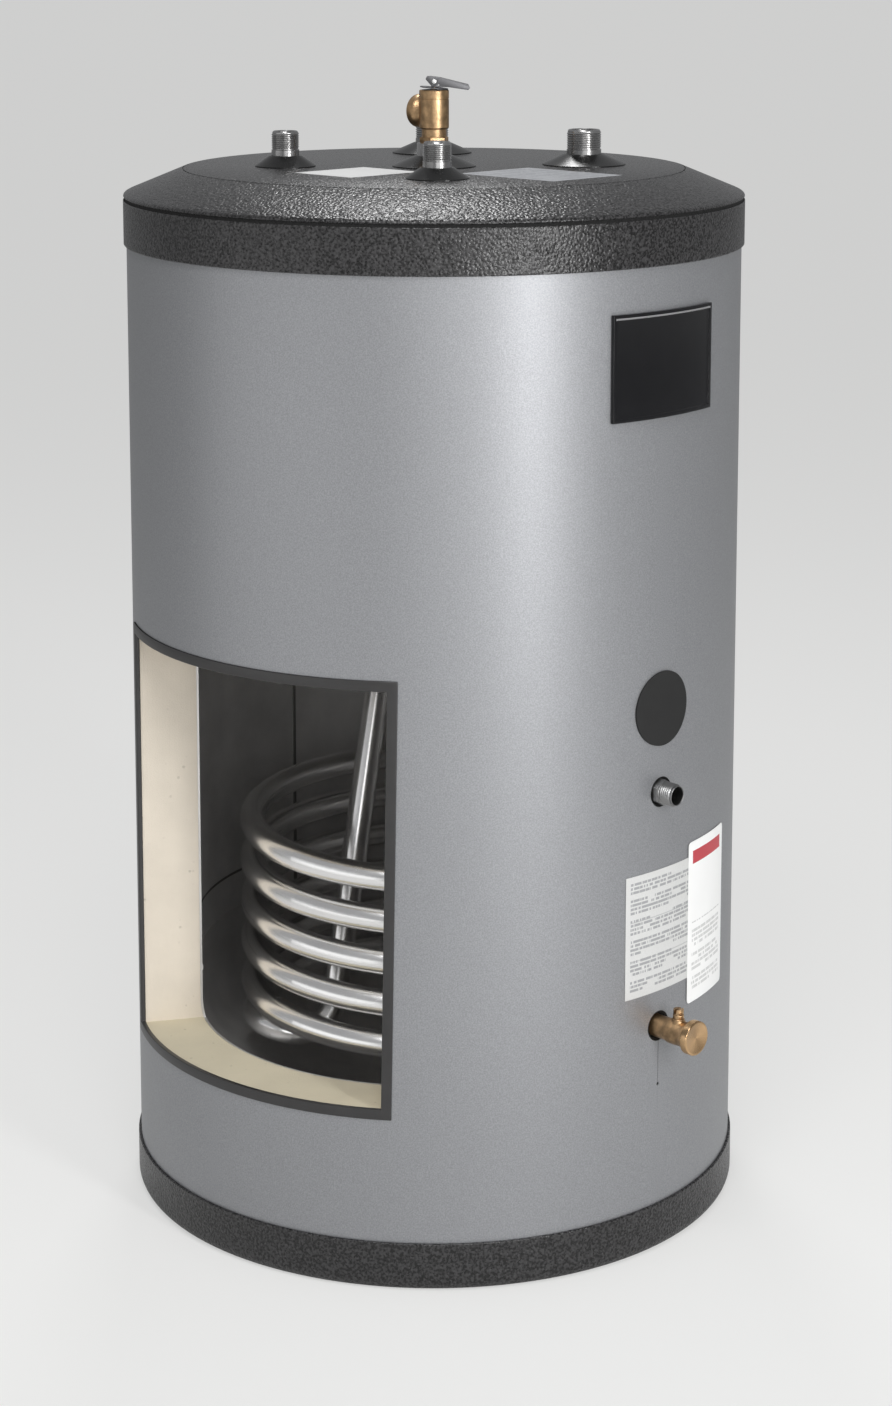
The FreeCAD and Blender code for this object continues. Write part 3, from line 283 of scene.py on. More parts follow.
def jacket_paint(colours):
    """Satin grey paint with fine bright grains."""
    finish = Finish("satin grey paint", Metallic=0.55, Coat_Weight=0.12, Coat_Roughness=0.35)
    grain = finish.noise(850.0, 2.0)
    cloud = finish.noise(9.0, 3.0)
    tone = finish.tones(finish.clipped(grain, 0.35, 0.68), colours.paint, 0.86, 1.14)
    tone = finish.blend(cloud * 0.25, tone, shade(colours.paint, 0.9))
    finish.drive("Base Color", tone)
    finish.drive("Roughness", finish.noise(700.0, 2.0) * 0.12 + 0.38)
    finish.relief(grain + finish.noise(320.0, 1.0) * 1.5, 0.2, 0.0002)
    return finish.material


def grained_plastic(name, colours, groove=None):
    """Moulded plastic with a pebble grain whose light specks are partly painted glints, and painted shade
    between the two heights of a groove.
    """
    finish = Finish(name, Specular_IOR_Level=0.5)
    pebbles = finish.cells(330.0)
    speck = finish.noise(400.0, 2.0)
    height = finish.clipped(pebbles, 0.05, 0.75) * -1.0 + speck * 1.2
    # Light specks in the colour: partly the plastic's own grain, partly painted glints of the pebbles.
    tone = finish.tones(finish.clipped(speck, 0.4, 0.62), colours.casing, 0.3, 2.4)
    roughness = speck * 0.24 + 0.16
    if groove:
        # Painted shade: the groove's band is darkened and roughened, as the deep groove lies in shade.
        shadow = inside(finish.axes()[2], *groove)
        tone = finish.blend(shadow, tone, shade(colours.casing, 0.15))
        roughness = roughness + shadow * 0.6
    finish.drive("Base Color", tone)
    finish.drive("Roughness", roughness)
    finish.relief(height, 0.5, 0.0008)
    return finish.material


def smooth_plastic(name, colour, roughness, bump=0.05, gloss=0.5):
    """Plain moulded plastic or rubber with faint flow marks."""
    finish = Finish(name, Specular_IOR_Level=gloss)
    flow = finish.noise(60.0, 4.0, 0.6)
    finish.drive("Base Color", finish.tones(flow, colour, 0.8, 1.2))
    finish.drive("Roughness", flow * 0.14 + (roughness - 0.07))
    finish.relief(finish.noise(900.0, 2.0), bump, 0.0002)
    return finish.material


def badge_plastic(low, high):
    """Gloss black plate with one thin grey line under its upper edge, a painted highlight."""
    finish = Finish("gloss badge plastic", Specular_IOR_Level=0.3)
    across, up = jacket_print(finish)
    # The grey line is a painted highlight along the top of the plate.
    line = inside(up, high.z - 4.7 * MM, high.z - 2.9 * MM)
    line = line * inside(across, low.x + 3.0 * MM, high.x - 3.0 * MM)
    flow = finish.noise(60.0, 4.0, 0.6)
    black = finish.blend(flow, (0.006, 0.006, 0.007, 1.0), (0.009, 0.009, 0.010, 1.0))
    finish.drive("Base Color", finish.blend(line, black, (0.23, 0.23, 0.235, 1.0)))
    finish.drive("Roughness", flow * 0.1 + 0.16)
    finish.relief(flow, 0.02, 0.0002)
    return finish.material


def cut_foam(name, colour):
    """Rigid foam, sawn: fine cells, a few open blisters darkened with painted shade, and drag marks."""
    finish = Finish(name, Roughness=0.92, Specular_IOR_Level=0.2)
    cells = finish.cells(850.0)
    blisters = finish.cells(90.0)
    drag = finish.noise(1.0, 3.0, 0.6, finish.stretched((240.0, 240.0, 14.0)))
    patches = finish.noise(13.0, 4.0, 0.55)
    tone = finish.tones(finish.clipped(patches, 0.3, 0.72), colour, 0.93, 1.06)
    pits = finish.clipped(blisters, 0.16, 0.06) * finish.clipped(finish.noise(31.0, 1.0), 0.5, 0.62)
    # Painted shade: the colour is darkened inside the blisters, where shade falls.
    tone = finish.blend(pits * 0.5, tone, shade(colour, 0.6))
    finish.drive("Base Color", tone)
    finish.relief(cells * 0.35 + drag * 0.6 - pits * 1.5, 0.4, 0.0008)
    return finish.material


def metal(name, colour, roughness, scratch=(300.0, 300.0, 20.0), depth=0.08, stain=0.12):
    """Bare metal with drawn or turned marks along one way and soft stains."""
    finish = Finish(name, Metallic=1.0)
    marks = finish.noise(1.0, 3.0, 0.6, finish.stretched(scratch))
    cloud = finish.noise(18.0, 3.0, 0.6)
    finish.drive("Base Color", finish.tones(cloud, colour, 1.0 - stain, 1.0 + stain))
    finish.drive("Roughness", marks * 0.14 + cloud * 0.1 + (roughness - 0.12))
    finish.relief(marks, depth, 0.0002)
    return finish.material


def cast_brass(colours):
    """Sand-cast brass with a fine rough skin and blotches of darker and lighter tone."""
    finish = Finish("cast brass", Metallic=1.0)
    sand = finish.noise(1300.0, 2.0)
    cloud = finish.noise(140.0, 3.0)
    tone = finish.tones(finish.clipped(cloud, 0.35, 0.7), colours.brass, 0.6, 1.15)
    finish.drive("Base Color", tone)
    finish.drive("Roughness", sand * 0.2 + 0.26)
    finish.relief(sand, 0.35, 0.0003)
    return finish.material


def turned_brass(colours, centre):
    """Brass faced on a lathe: rings, and painted reflections in fans round an axis along Y, at the centre's
    height.
    """
    finish = Finish("turned brass", Metallic=1.0)
    across, height = finish.axes()[::2]
    above = height - centre
    radius = finish.changed("SQRT", across * across + above * above)
    rings = finish.changed("SINE", radius * 9000.0)
    cloud = finish.noise(160.0, 3.0)
    angle = finish.sum("ARCTAN2", above, across)
    # Painted reflection: fans of lighter and darker colour round the axis.
    painted_reflection_fans = finish.changed("SINE", angle * 2.0 + 0.5) * 0.5 + 0.5
    finish.drive("Base Color", finish.tones(cloud * 0.3 + painted_reflection_fans * 0.7, colours.brass, 0.68, 1.25))
    finish.drive("Roughness", painted_reflection_fans * 0.12 + 0.2)
    finish.relief(rings * 0.5 + cloud, 0.2, 0.00012)
    return finish.material


def print_rows(finish, across, up, row):
    """Mask of grey dashes in groups of rows, as small print looks from afar, with the height of a row."""
    rows_in_group = 5
    dashes_in_metre = 420.0
    gaps_in_metre = 30.0
    line = finish.changed("FRACT", up / row)
    index = finish.changed("FLOOR", up / row)
    part = finish.changed("FRACT", (index + 0.5) / rows_in_group)
    words = finish.node("ShaderNodeCombineXYZ", None, {0: across * dashes_in_metre, 1: index * 7.3})
    lengths = finish.node("ShaderNodeCombineXYZ", None, {0: across * gaps_in_metre, 1: index * 3.1})
    dashes = finish.noise(1.0, 1.0, 0.5, words) > 0.42
    ends = finish.noise(1.0, 0.0, 0.5, lengths) > 0.36
    return dashes * ends * (line < 0.62) * (part > 1.0 / rows_in_group)


def jacket_print(finish):
    """Distance round the jacket from its front, and height, in metres."""
    x, y, z = finish.axes()
    angle = finish.sum("ARCTAN2", x, y * -1.0)
    return angle * (JACKET_R * MM), z


def label_print(finish, low, high, jacket):
    """A label's two directions, its width and its height, on the jacket or flat on the lid."""
    across, up = jacket_print(finish) if jacket else finish.axes()[:2]
    return across, up, high[0] - low[0], high[1] - low[1]


def silver_label(name, low, high, tone=(0.68, 0.68, 0.67), jacket=True):
    """Silver foil label with blank ruled boxes and rows of grey dashes."""
    finish = Finish(name, Metallic=0.2, Roughness=0.42)
    across, up, width, height = label_print(finish, low, high, jacket)
    margin = 0.05 * width
    rows = print_rows(finish, across, up, height / 30)
    field = inside(across, low[0] + margin, high[0] - margin)
    field = field * inside(up, low[1] + margin, high[1] - margin)
    rules = inside(up, low[1] + 0.62 * height, low[1] + 0.63 * height)
    rules = rules + inside(up, low[1] + 0.3 * height, low[1] + 0.31 * height)
    mask = finish.sum("MAXIMUM", rows * field, rules * field * 0.5, clamp=True)
    foil = finish.noise(700.0, 2.0)
    sheet = finish.tones(foil, tone, 0.91, 1.09)
    finish.drive("Base Color", finish.blend(mask * 0.6, sheet, (0.16, 0.17, 0.19, 1.0)))
    finish.relief(foil, 0.06, 0.0001)
    return finish.material


def white_label(name, low, high, band_colour=None, jacket=True):
    """White paper label, with a coloured band and faint rows if it has a band."""
    finish = Finish(name, Roughness=0.3)
    across, up, width, height = label_print(finish, low, high, jacket)
    paper = finish.blend(finish.noise(40.0, 3.0), (0.89, 0.89, 0.88, 1.0), (0.94, 0.94, 0.93, 1.0))
    if band_colour:
        margin = 0.1 * width
        columns = inside(across, low[0] + margin, high[0] - margin)
        rows = print_rows(finish, across, up, height / 34)
        rows = rows * columns * inside(up, low[1] + 0.07 * height, low[1] + 0.5 * height)
        paper = finish.blend(rows * 0.45, paper, (0.25, 0.25, 0.25, 1.0))
        band = columns * inside(up, low[1] + 0.86 * height, low[1] + 0.94 * height)
        paper = finish.blend(band, paper, band_colour)
    finish.drive("Base Color", paper)
    finish.relief(finish.noise(500.0, 2.0), 0.04, 0.0001)
    return finish.material


# Modelling steps

def clear_selection():
    if bpy.context.mode != "OBJECT":
        bpy.ops.object.mode_set(mode="OBJECT")
    bpy.ops.object.select_all(action="DESELECT")


def pick(piece, *others):
    clear_selection()
    for other in others + (piece,):
        other.select_set(True)
    bpy.context.view_layer.objects.active = piece


def named(name):
    piece = bpy.context.object
    piece.name = name
    piece.data.name = name
    return piece


def turned(name, outline, steps, closed=True):
    """Lathe work: an outline of (radius, height) corners in millimetres, turned round the Z axis."""
    clear_selection()
    radius, height = outline[0]
    bpy.ops.mesh.primitive_circle_add(vertices=steps, radius=radius * MM, location=(0, 0, height * MM))
    piece = named(name)
    bpy.ops.object.transform_apply(location=True, rotation=True, scale=True)
    bpy.ops.object.mode_set(mode="EDIT")
    bpy.ops.mesh.select_all(action="SELECT")
    corners = list(outline[1:])
    if closed:
        corners.append(outline[0])
    for new_radius, new_height in corners:
        rise = (new_height - height) * MM
        bpy.ops.mesh.extrude_edges_move(TRANSFORM_OT_translate={"value": (0, 0, rise)})
        grow = new_radius / radius
        bpy.ops.transform.resize(value=(grow, grow, 1), center_override=(0, 0, new_height * MM))
        radius, height = new_radius, new_height
    bpy.ops.mesh.select_all(action="SELECT")
    if closed:
        bpy.ops.mesh.remove_doubles(threshold=1e-6)
    else:
        bpy.ops.mesh.fill_holes(sides=0)
        bpy.ops.mesh.select_all(action="SELECT")
    bpy.ops.mesh.normals_make_consistent(inside=False)
    bpy.ops.object.mode_set(mode="OBJECT")
    return piece


def modified(piece, kind, **settings):
    """Apply one modifier to the piece."""
    pick(piece)
    step = piece.modifiers.new(kind.title(), kind)
    for name, value in settings.items():
        setattr(step, name, value)
    bpy.ops.object.modifier_apply(modifier=step.name)
    return piece


def rounded(piece, width, segments=2, angle=40.0):
    """Bevel the edges that bend by more than the angle in degrees; the width is in millimetres."""
    return modified(piece, "BEVEL", width=width * MM, segments=segments, limit_method="ANGLE",
                    angle_limit=math.radians(angle), use_clamp_overlap=True)


def cut(piece, cutter, operation="DIFFERENCE"):
    """Cut the cutter out of the piece, or add it, and remove the cutter."""
    modified(piece, "BOOLEAN", object=cutter, operation=operation, solver="EXACT")
    bpy.data.objects.remove(cutter)
    return piece


def block(name, low, high):
    """Block between two corners in millimetres, for cutting or for bevelling."""
    clear_selection()
    bpy.ops.mesh.primitive_cube_add(size=1.0)
    piece = named(name)
    piece.scale = [(b - a) * MM for a, b in zip(low, high)]
    piece.location = [(a + b) / 2 * MM for a, b in zip(low, high)]
    bpy.ops.object.transform_apply(location=True, rotation=True, scale=True)
    return piece


def stand(piece, x=0.0, y=0.0, z=0.0, turn=(0.0, 0.0, 0.0)):
    """Turn the piece by degrees, move it by millimetres and put its place into its mesh."""
    pick(piece)
    piece.rotation_euler = [math.radians(angle) for angle in turn]
    piece.location = (x * MM, y * MM, z * MM)
    bpy.ops.object.transform_apply(location=True, rotation=True, scale=True)
    return piece


def united(piece, *others):
    """Join the others to the piece, which keeps its name."""
    pick(piece, *others)
    bpy.ops.object.join()
    return piece


def smooth(piece, angle=35.0):
    """Shade smoothly over edges that bend by less than the angle in degrees."""
    pick(piece)
    bpy.ops.object.shade_smooth_by_angle(angle=math.radians(angle))
    return piece


def settle(piece, body, slot, finish, *replaced):
    """Give the piece its finish and body, and say which CAD nodes it stands for; the slot is not used."""
    piece.data.materials.clear()
    piece.data.materials.append(finish)
    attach(piece, body)
    if replaced:
        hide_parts(*replaced)
    return piece


def coat(finish, *names):
    """Give CAD nodes a finish."""
    for name in names:
        node = nodes[name]
        if not node.material_slots:
            node.data.materials.append(finish)
        for slot in node.material_slots:
            slot.material = finish


def thread(name, root_r, pitch, depth, low, turns, steps):
    """Screw thread: a three-sided ridge wound round the Z axis upwards from low, in millimetres."""
    sunk = 0.12
    clear_selection()
    bpy.ops.mesh.primitive_circle_add(vertices=3, radius=1.0)
    piece = named(name)
    stand(piece, turn=(0, 0, -90))
    width = (depth + sunk) / 1.5 * MM
    piece.scale = (width, 0.96 * pitch / math.sqrt(3) * MM, 1)
    piece.rotation_euler = (math.pi / 2, 0, 0)
    piece.location = ((root_r - sunk) * MM + width / 2, 0, low * MM)
    bpy.ops.object.transform_apply(location=True, rotation=True, scale=True)
    modified(piece, "SCREW", axis="Z", angle=math.tau, screw_offset=pitch * MM, iterations=turns, steps=steps,
             render_steps=steps, use_merge_vertices=True, merge_threshold=1e-7)
    bpy.ops.object.mode_set(mode="EDIT")
    bpy.ops.mesh.select_all(action="SELECT")
    bpy.ops.mesh.fill_holes(sides=3)
    bpy.ops.mesh.select_all(action="SELECT")
    bpy.ops.mesh.normals_make_consistent(inside=False)
    bpy.ops.object.mode_set(mode="OBJECT")
    return piece


def rod(name, radius, low, high, steps=48):
    """Plain rod on the Z axis, for cutting holes, in millimetres."""
    clear_selection()
    bpy.ops.mesh.primitive_cylinder_add(vertices=steps, radius=radius * MM, depth=(high - low) * MM,
                                        location=(0, 0, (low + high) / 2 * MM))
    piece = named(name)
    bpy.ops.object.transform_apply(location=True, rotation=True, scale=True)
    return piece


def eased(name, node, width, segments=2, angle=40.0):
    """Copy of a CAD node whose loose triangles are merged and whose corners are rounded off by width."""
    clear_selection()
    piece = bpy.data.objects.new(name, nodes[node].data.copy())
    piece.data.name = name
    bpy.context.scene.collection.objects.link(piece)
    pick(piece)
    bpy.ops.object.mode_set(mode="EDIT")
    bpy.ops.mesh.select_all(action="SELECT")
    bpy.ops.mesh.remove_doubles(threshold=2e-6)
    bpy.ops.mesh.dissolve_limited(angle_limit=math.radians(0.5))
    bpy.ops.object.mode_set(mode="OBJECT")
    return smooth(rounded(piece, width, segments, angle))


def middle_height(low, high):
    """Height of the middle between two corners, in millimetres."""
    return (low.z + high.z) / 2 / MM


def port_places():
    """Centre and pipe radius of each port on the lid, in millimetres."""
    for port in PORTS:
        low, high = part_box(port + "_nipple")
        yield port, (low.x + high.x) / 2 / MM, (low.y + high.y) / 2 / MM, (high.x - low.x) / 2 / MM


# Operators, one for each piece or group of like pieces

class HEATER_OT_stage(bpy.types.Operator):
    """Floor, light and camera"""
    bl_idname = "heater.stage"
    bl_label = "Stage"

    def panel(self, name, at, aim, size, power):
        clear_selection()
        bpy.ops.object.light_add(type="AREA", location=at)
        lamp = bpy.context.object
        lamp.name = name
        lamp.data.shape = "RECTANGLE"
        lamp.data.size, lamp.data.size_y = size
        lamp.data.energy = power
        way = lamp.location.copy()
        way.x, way.y, way.z = (a - b for a, b in zip(aim, at))
        lamp.rotation_euler = way.to_track_quat("-Z", "Y").to_euler()

    def camera(self, scene, settings):
        clear_selection()
        bpy.ops.object.camera_add(location=settings.camera_at, rotation=settings.camera_turn)
        camera = bpy.context.object
        camera.name = "camera"
        camera.data.lens = settings.lens
        camera.data.shift_y = settings.shift
        camera.data.clip_end = 200.0
        scene.camera = camera

    def room(self, scene, settings):
        """Light from all round, at one level for the object and at another where it is seen or mirrored."""
        scene.world = bpy.data.worlds.new("room")
        scene.world.use_nodes = True
        room = Shading(scene.world.node_tree)
        seen = room.node("ShaderNodeLightPath", output="Is Camera Ray")
        for ray in ("Is Glossy Ray", "Is Transmission Ray"):
            seen = room.sum("MAXIMUM", seen, room.node("ShaderNodeLightPath", output=ray))
        levels = {"Value": seen, "To Min": settings.room, "To Max": settings.sky}
        background = room.tree.nodes["Background"]
        background.inputs["Color"].default_value = (0.97, 0.98, 1.0, 1.0)
        level = room.node("ShaderNodeMapRange", None, levels)
        room.tree.links.new(level.socket, background.inputs["Strength"])

    def floor(self):
        """Wide pale floor that glows a little where the camera sees it."""
        clear_selection()
        bpy.ops.mesh.primitive_circle_add(vertices=128, radius=60.0, fill_type="NGON", location=(0, 0, 0))
        floor = named("floor")
        pale = (0.80, 0.80, 0.79, 1.0)
        finish = Finish("pale floor", Base_Color=pale, Roughness=0.9, Specular_IOR_Level=0.1)
        glow = finish.node("ShaderNodeEmission", None, {"Color": (0.93, 0.93, 0.92, 1.0), "Strength": 1.0})
        seen = finish.node("ShaderNodeLightPath", output="Is Camera Ray")
        surface = Wire(finish, finish.shader.outputs[0])
        mixed = finish.node("ShaderNodeMixShader", None, {0: seen * 0.55, 1: surface, 2: glow})
        finish.tree.links.new(mixed.socket, finish.tree.nodes["Material Output"].inputs["Surface"])
        floor.data.materials.append(finish.material)

    def execute(self, context):
        scene = context.scene
        settings = scene.heater_stage
        scene.view_settings.view_transform = "Standard"
        self.camera(scene, settings)
        self.panel("front panel", (-0.55, -2.75, 1.15), (0, 0, 0.6), (0.36, 1.9), settings.key)
        self.panel("fill panel", (-2.2, -2.75, 1.3), (0, 0, 0.5), (1.8, 2.0), settings.fill)
        self.panel("side panel", (-2.4, 0.5, 0.5), (0, 0, 0.36), (2.6, 0.9), settings.side)
        self.panel("top panel", (-1.3, -1.0, 2.9), (0, 0, 0.8), (1.0, 1.0), settings.top)
        self.panel("back panel", (1.0, 1.15, 3.1), (0, 0, 0.9), (0.5, 0.5), settings.back)
        self.room(scene, settings)
        self.floor()
        return {"FINISHED"}


class HEATER_OT_casing(bpy.types.Operator):
    """Lid, trim, rivets and rings, and finishes of jacket, base pan, covers and foam"""
    bl_idname = "heater.casing"
    bl_label = "Casing"

    def execute(self, context):
        colours = context.scene.heater_colours
        plastic = grained_plastic("grained black plastic", colours)
        foam = cut_foam("cut foam", colours.foam)
        sawn = [part * factor for part, factor in zip(colours.foam, (0.94, 0.94, 0.84))]
        ledge = cut_foam("sawn ledge foam", sawn)
        paint = jacket_paint(colours)
        rubber = smooth_plastic("black washer rubber", (0.012, 0.012, 0.012), 0.6, gloss=0.3)
        coat(paint, "jacket")
        coat(plastic, "base_pan")
        self.lid(context.scene.heater_sizes, colours)
        coat(ledge, "foam_below_window")
        coat(foam, "foam_front", "foam_back", "foam_above_window", "foam_top", "foam_base")
        trim = smooth_plastic("black edge trim", (0.030, 0.029, 0.029), 0.38)
        settle(eased("window_edging", "window_trim", 1.3, 4), HEATER, "rubber", trim, "window_trim")
        coat(smooth_plastic("black collar plastic", (0.010, 0.010, 0.010), 0.26),
             *[port + "_collar" for port in PORTS], "relief_valve_collar")
        coat(smooth_plastic("matt cover plastic", (0.020, 0.020, 0.020), 0.7, 0.3, 0.25), "front_hole_cover")
        coat(rubber, "relief_valve_seal", "drain_cap_washer")
        coat(smooth_plastic("pale tube plastic", (0.62, 0.61, 0.57), 0.4), "dip_tube")
        self.holes(rubber)
        self.seam(paint)
        rivet = metal("rivet steel", (0.42, 0.42, 0.42), 0.4)
        settle(eased("seam_rivets", "jacket_rivets", 0.9, 3), HEATER, "steel", rivet, "jacket_rivets")
        return {"FINISHED"}

    def seam(self, paint):
        """Strip that closes the jacket's slit between the base pan and the small hole."""
        strip = block("seam_strip", (-SLIT_HALF, -JACKET_R, PAN_RIM_Z),
                      (SLIT_HALF, JACKET_SHEET - JACKET_R, VENT_Z - VENT_R))
        settle(smooth(rounded(strip, 0.04)), HEATER, "jacket", paint)

    def holes(self, rubber):
        """Dark rubber rings in the holes of the well and drain, partly painted shade; a dark plug as painted
        shade in the small hole.
        """
        for name, inner, outer in (("control_well", 11.0, 14.3), ("drain_cap", 10.75, 14.45)):
            # Partly painted shade: each ring is dark rubber that also stands for the shade deep in its hole.
            ring = turned(name + "_hole_shade_ring", [(radius, JACKET_R - depth) for radius, depth in (
                (inner, 9.0), (outer, 9.0), (outer, 0.2), (outer - 0.3, 0.05), (outer - 1.0, 0.6),
                (inner + 0.6, 3.4), (inner, 4.0))], 64)
            stand(ring, z=middle_height(*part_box(name)), turn=(90, 0, 0))
            settle(smooth(ring), HEATER, "rubber", rubber)
        # Painted shade: a dark plug sunk in the small hole stands for the shade inside it.
        plug = rounded(rod("vent_hole_shade", VENT_R + 0.15, JACKET_R - 6.0, JACKET_R - 0.7, 24), 0.3)
        settle(smooth(stand(plug, z=VENT_Z, turn=(90, 0, 0))), HEATER, "rubber", rubber)

    def lid(self, sizes, colours):
        """Dished lid with a groove under its shoulder and a fine one round its top."""
        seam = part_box("lid")[0].z / MM
        wall = 2.4
        shoulder = LID_TOP - 23.6
        rise = 0.4119
        crown_r = 240.7

        def slope(radius):
            return shoulder + (LID_R - radius) * rise

        lip = shoulder - 2.6
        ledge = lip - sizes.groove_height / MM
        root = LID_R - sizes.groove_depth / MM
        outline = [
            (LID_R - wall, seam), (LID_R - 0.6, seam), (LID_R, seam + 0.8), (LID_R, ledge - 0.5),
            (LID_R - 0.4, ledge), (root + 0.2, ledge + 0.1), (root, ledge + 0.5), (root, lip - 0.4),
            (root + 0.2, lip), (LID_R - 0.9, lip + 0.1), (LID_R - 0.4, lip + 0.5), (LID_R - 0.3, lip + 1.0),
            (LID_R - 0.7, shoulder - 0.5), (LID_R - 1.6, shoulder + 0.4), (LID_R - 2.9, shoulder + 1.15),
            (LID_R - 5.0, slope(LID_R - 5.0) + 0.05), (LID_R - 8.0, slope(LID_R - 8.0)),
            (crown_r + 1.2, slope(crown_r + 1.2)),
            (crown_r + 0.6, LID_TOP - 0.5), (crown_r + 0.4, LID_TOP - 1.4), (crown_r - 0.3, LID_TOP - 1.4),
            (crown_r - 0.5, LID_TOP - 0.3), (crown_r - 1.0, LID_TOP), (19.5, LID_TOP), (19.5, LID_TOP - wall),
            (crown_r - 1.0, LID_TOP - wall), (LID_R - 9.0, slope(LID_R - 9.0) - 1.1 * wall),
            (LID_R - 3.6, shoulder - 1.4), (LID_R - wall, shoulder - 5.0),
        ]
        piece = turned("ported_lid", outline, sizes.rim_steps)
        for port, x, y, radius in port_places():
            hole = rod("hole", radius + 3.0, LID_TOP - 10, LID_TOP + 10)
            cut(piece, stand(hole, x, y))
        plastic = grained_plastic("grained lid plastic", colours, (ledge * MM, lip * MM))
        settle(smooth(piece), HEATER, "casing", plastic, "lid")


class HEATER_OT_metalwork(bpy.types.Operator):
    """Weld beads, and finishes of the tank, the coil and the metal fittings"""
    bl_idname = "heater.metalwork"
    bl_label = "Metalwork"

    def execute(self, context):
        colours = context.scene.heater_colours
        tank = metal("dull tank steel", (0.72, 0.71, 0.70), 0.6, (60.0, 60.0, 9.0), 0.15, 0.22)
        coat(tank, "tank_shell", "tank_top_head", "tank_bottom_head")
        self.welds(metal("weld bead steel", (0.30, 0.29, 0.28), 0.5))
        coat(metal("polished coil steel", shade(colours.steel, 1.22), 0.24, (90.0, 90.0, 500.0), 0.04, 0.06),
             "heat_exchanger_coil")
        coat(metal("plain fitting steel", (0.20, 0.20, 0.20), 0.5), "tank_support_ring", "drain_coupling")
        coat(cast_brass(colours), "temperature_probe")
        return {"FINISHED"}

    def welds(self, finish):
        """Beads of the tank's upright seam and of its lower one, on the inside."""
        low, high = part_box("tank_shell")
        bead = rod("seam_weld", 2.8, low.z / MM + 3, high.z / MM - 3, 12)
        bead.scale = (0.22, 0.8, 1)
        turn = math.radians(WELD_TURN)
        bore = high.y / MM - TANK_SHEET
        radius = bore - 0.2
        stand(bead, radius * math.sin(turn), -radius * math.cos(turn), 0, (0, 0, WELD_TURN - 90))
        settle(smooth(rounded(bead, 0.8)), HEATER, "stainless", finish)
        ring = turned("girth_weld", [(bore - rise, GIRTH_WELD_Z + up) for rise, up in (
            (-0.3, -1.7), (0.3, -1.1), (0.5, 0.0), (0.3, 1.1), (-0.3, 1.7))], 192)
        gap = block("gap", (-300.0, -149.0, GIRTH_WELD_Z - 10), (-170.0, 131.0, GIRTH_WELD_Z + 10))
        cut(ring, gap)
        settle(smooth(ring), HEATER, "stainless", finish)


class HEATER_OT_ports(bpy.types.Operator):
    """Threaded pipes on the lid, the threaded control well and the sockets"""
    bl_idname = "heater.ports"
    bl_label = "Threaded ports"

    def execute(self, context):
        sizes = context.scene.heater_sizes
        colours = context.scene.heater_colours
        finish = metal("bright pipe steel", shade(colours.steel, 0.55), 0.27)
        depth = sizes.thread_depth / MM
        thread_length = 16.0
        between_sizes = 15.0
        for port, x, y, crest in port_places():
            low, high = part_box(port + "_nipple")
            foot, top = low.z / MM, high.z / MM
            pitch = (sizes.large_pitch if crest > between_sizes else sizes.small_pitch) / MM
            bore = crest * 0.78
            root = crest - depth
            turns = int(thread_length / pitch)
            start = top - 1.4 - (turns + 0.5) * pitch
            outline = [
                (bore, foot), (crest, foot), (crest, start - 1.2), (root, start - 0.5), (root, top - 1.4),
                (root - 0.9, top), (bore + 0.6, top), (bore, top - 0.8),
            ]
            pipe = turned(port + "_pipe", outline, sizes.turning_steps)
            ridge = thread(port + "_thread", root, pitch, depth, start, turns, sizes.turning_steps)
            stand(united(pipe, ridge), x, y)
            settle(smooth(pipe, 30.0), HEATER, "polished_steel", finish, port + "_nipple")
        dull = metal("dull socket steel", (0.26, 0.26, 0.26), 0.36)
        self.well(sizes, dull)
        coupling = eased("relief_socket", "relief_valve_coupling", 0.7)
        settle(coupling, HEATER, "polished_steel", finish, "relief_valve_coupling")
        low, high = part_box("well_coupling")
        foot = -high.y / MM
        ring = rounded(rod("well_socket", 12.7, foot, JACKET_R + 4.6, 6), 0.7, 2)
        cut(ring, rod("bore", 10.7, foot - 5, JACKET_R + 10, sizes.turning_steps))
        stand(ring, z=middle_height(low, high), turn=(90, 0, 0))
        settle(smooth(ring), HEATER, "stainless", dull, "well_coupling")
        return {"FINISHED"}

    def well(self, sizes, finish):
        """Threaded mouth and thinner closed tube of the control well."""
        low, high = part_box("control_well")
        inner, mouth = -high.y / MM, -low.y / MM
        crest, bore, tube = 10.65, 8.4, 9.6
        pitch = sizes.well_pitch / MM
        depth = sizes.well_depth / MM
        root = crest - depth
        turns = 5
        start = mouth - 1.0 - (turns + 0.5) * pitch
        neck = inner + 107.0
        outline = [
            (bore, inner + 2.0), (bore, mouth - 0.6), (bore + 0.5, mouth), (root - 0.5, mouth),
            (root, mouth - 0.7), (root, start - 0.5), (crest, start - 1.2), (crest, neck + 1.0),
            (tube, neck), (tube, inner),
        ]
        pipe = turned("control_well_tube", outline, sizes.turning_steps, closed=False)
        ridge = thread("well_thread", root, pitch, depth, start, turns, sizes.turning_steps)
        stand(united(pipe, ridge), z=middle_height(low, high), turn=(90, 0, 0))
        settle(smooth(pipe, 30.0), HEATER, "polished_steel", finish, "control_well")


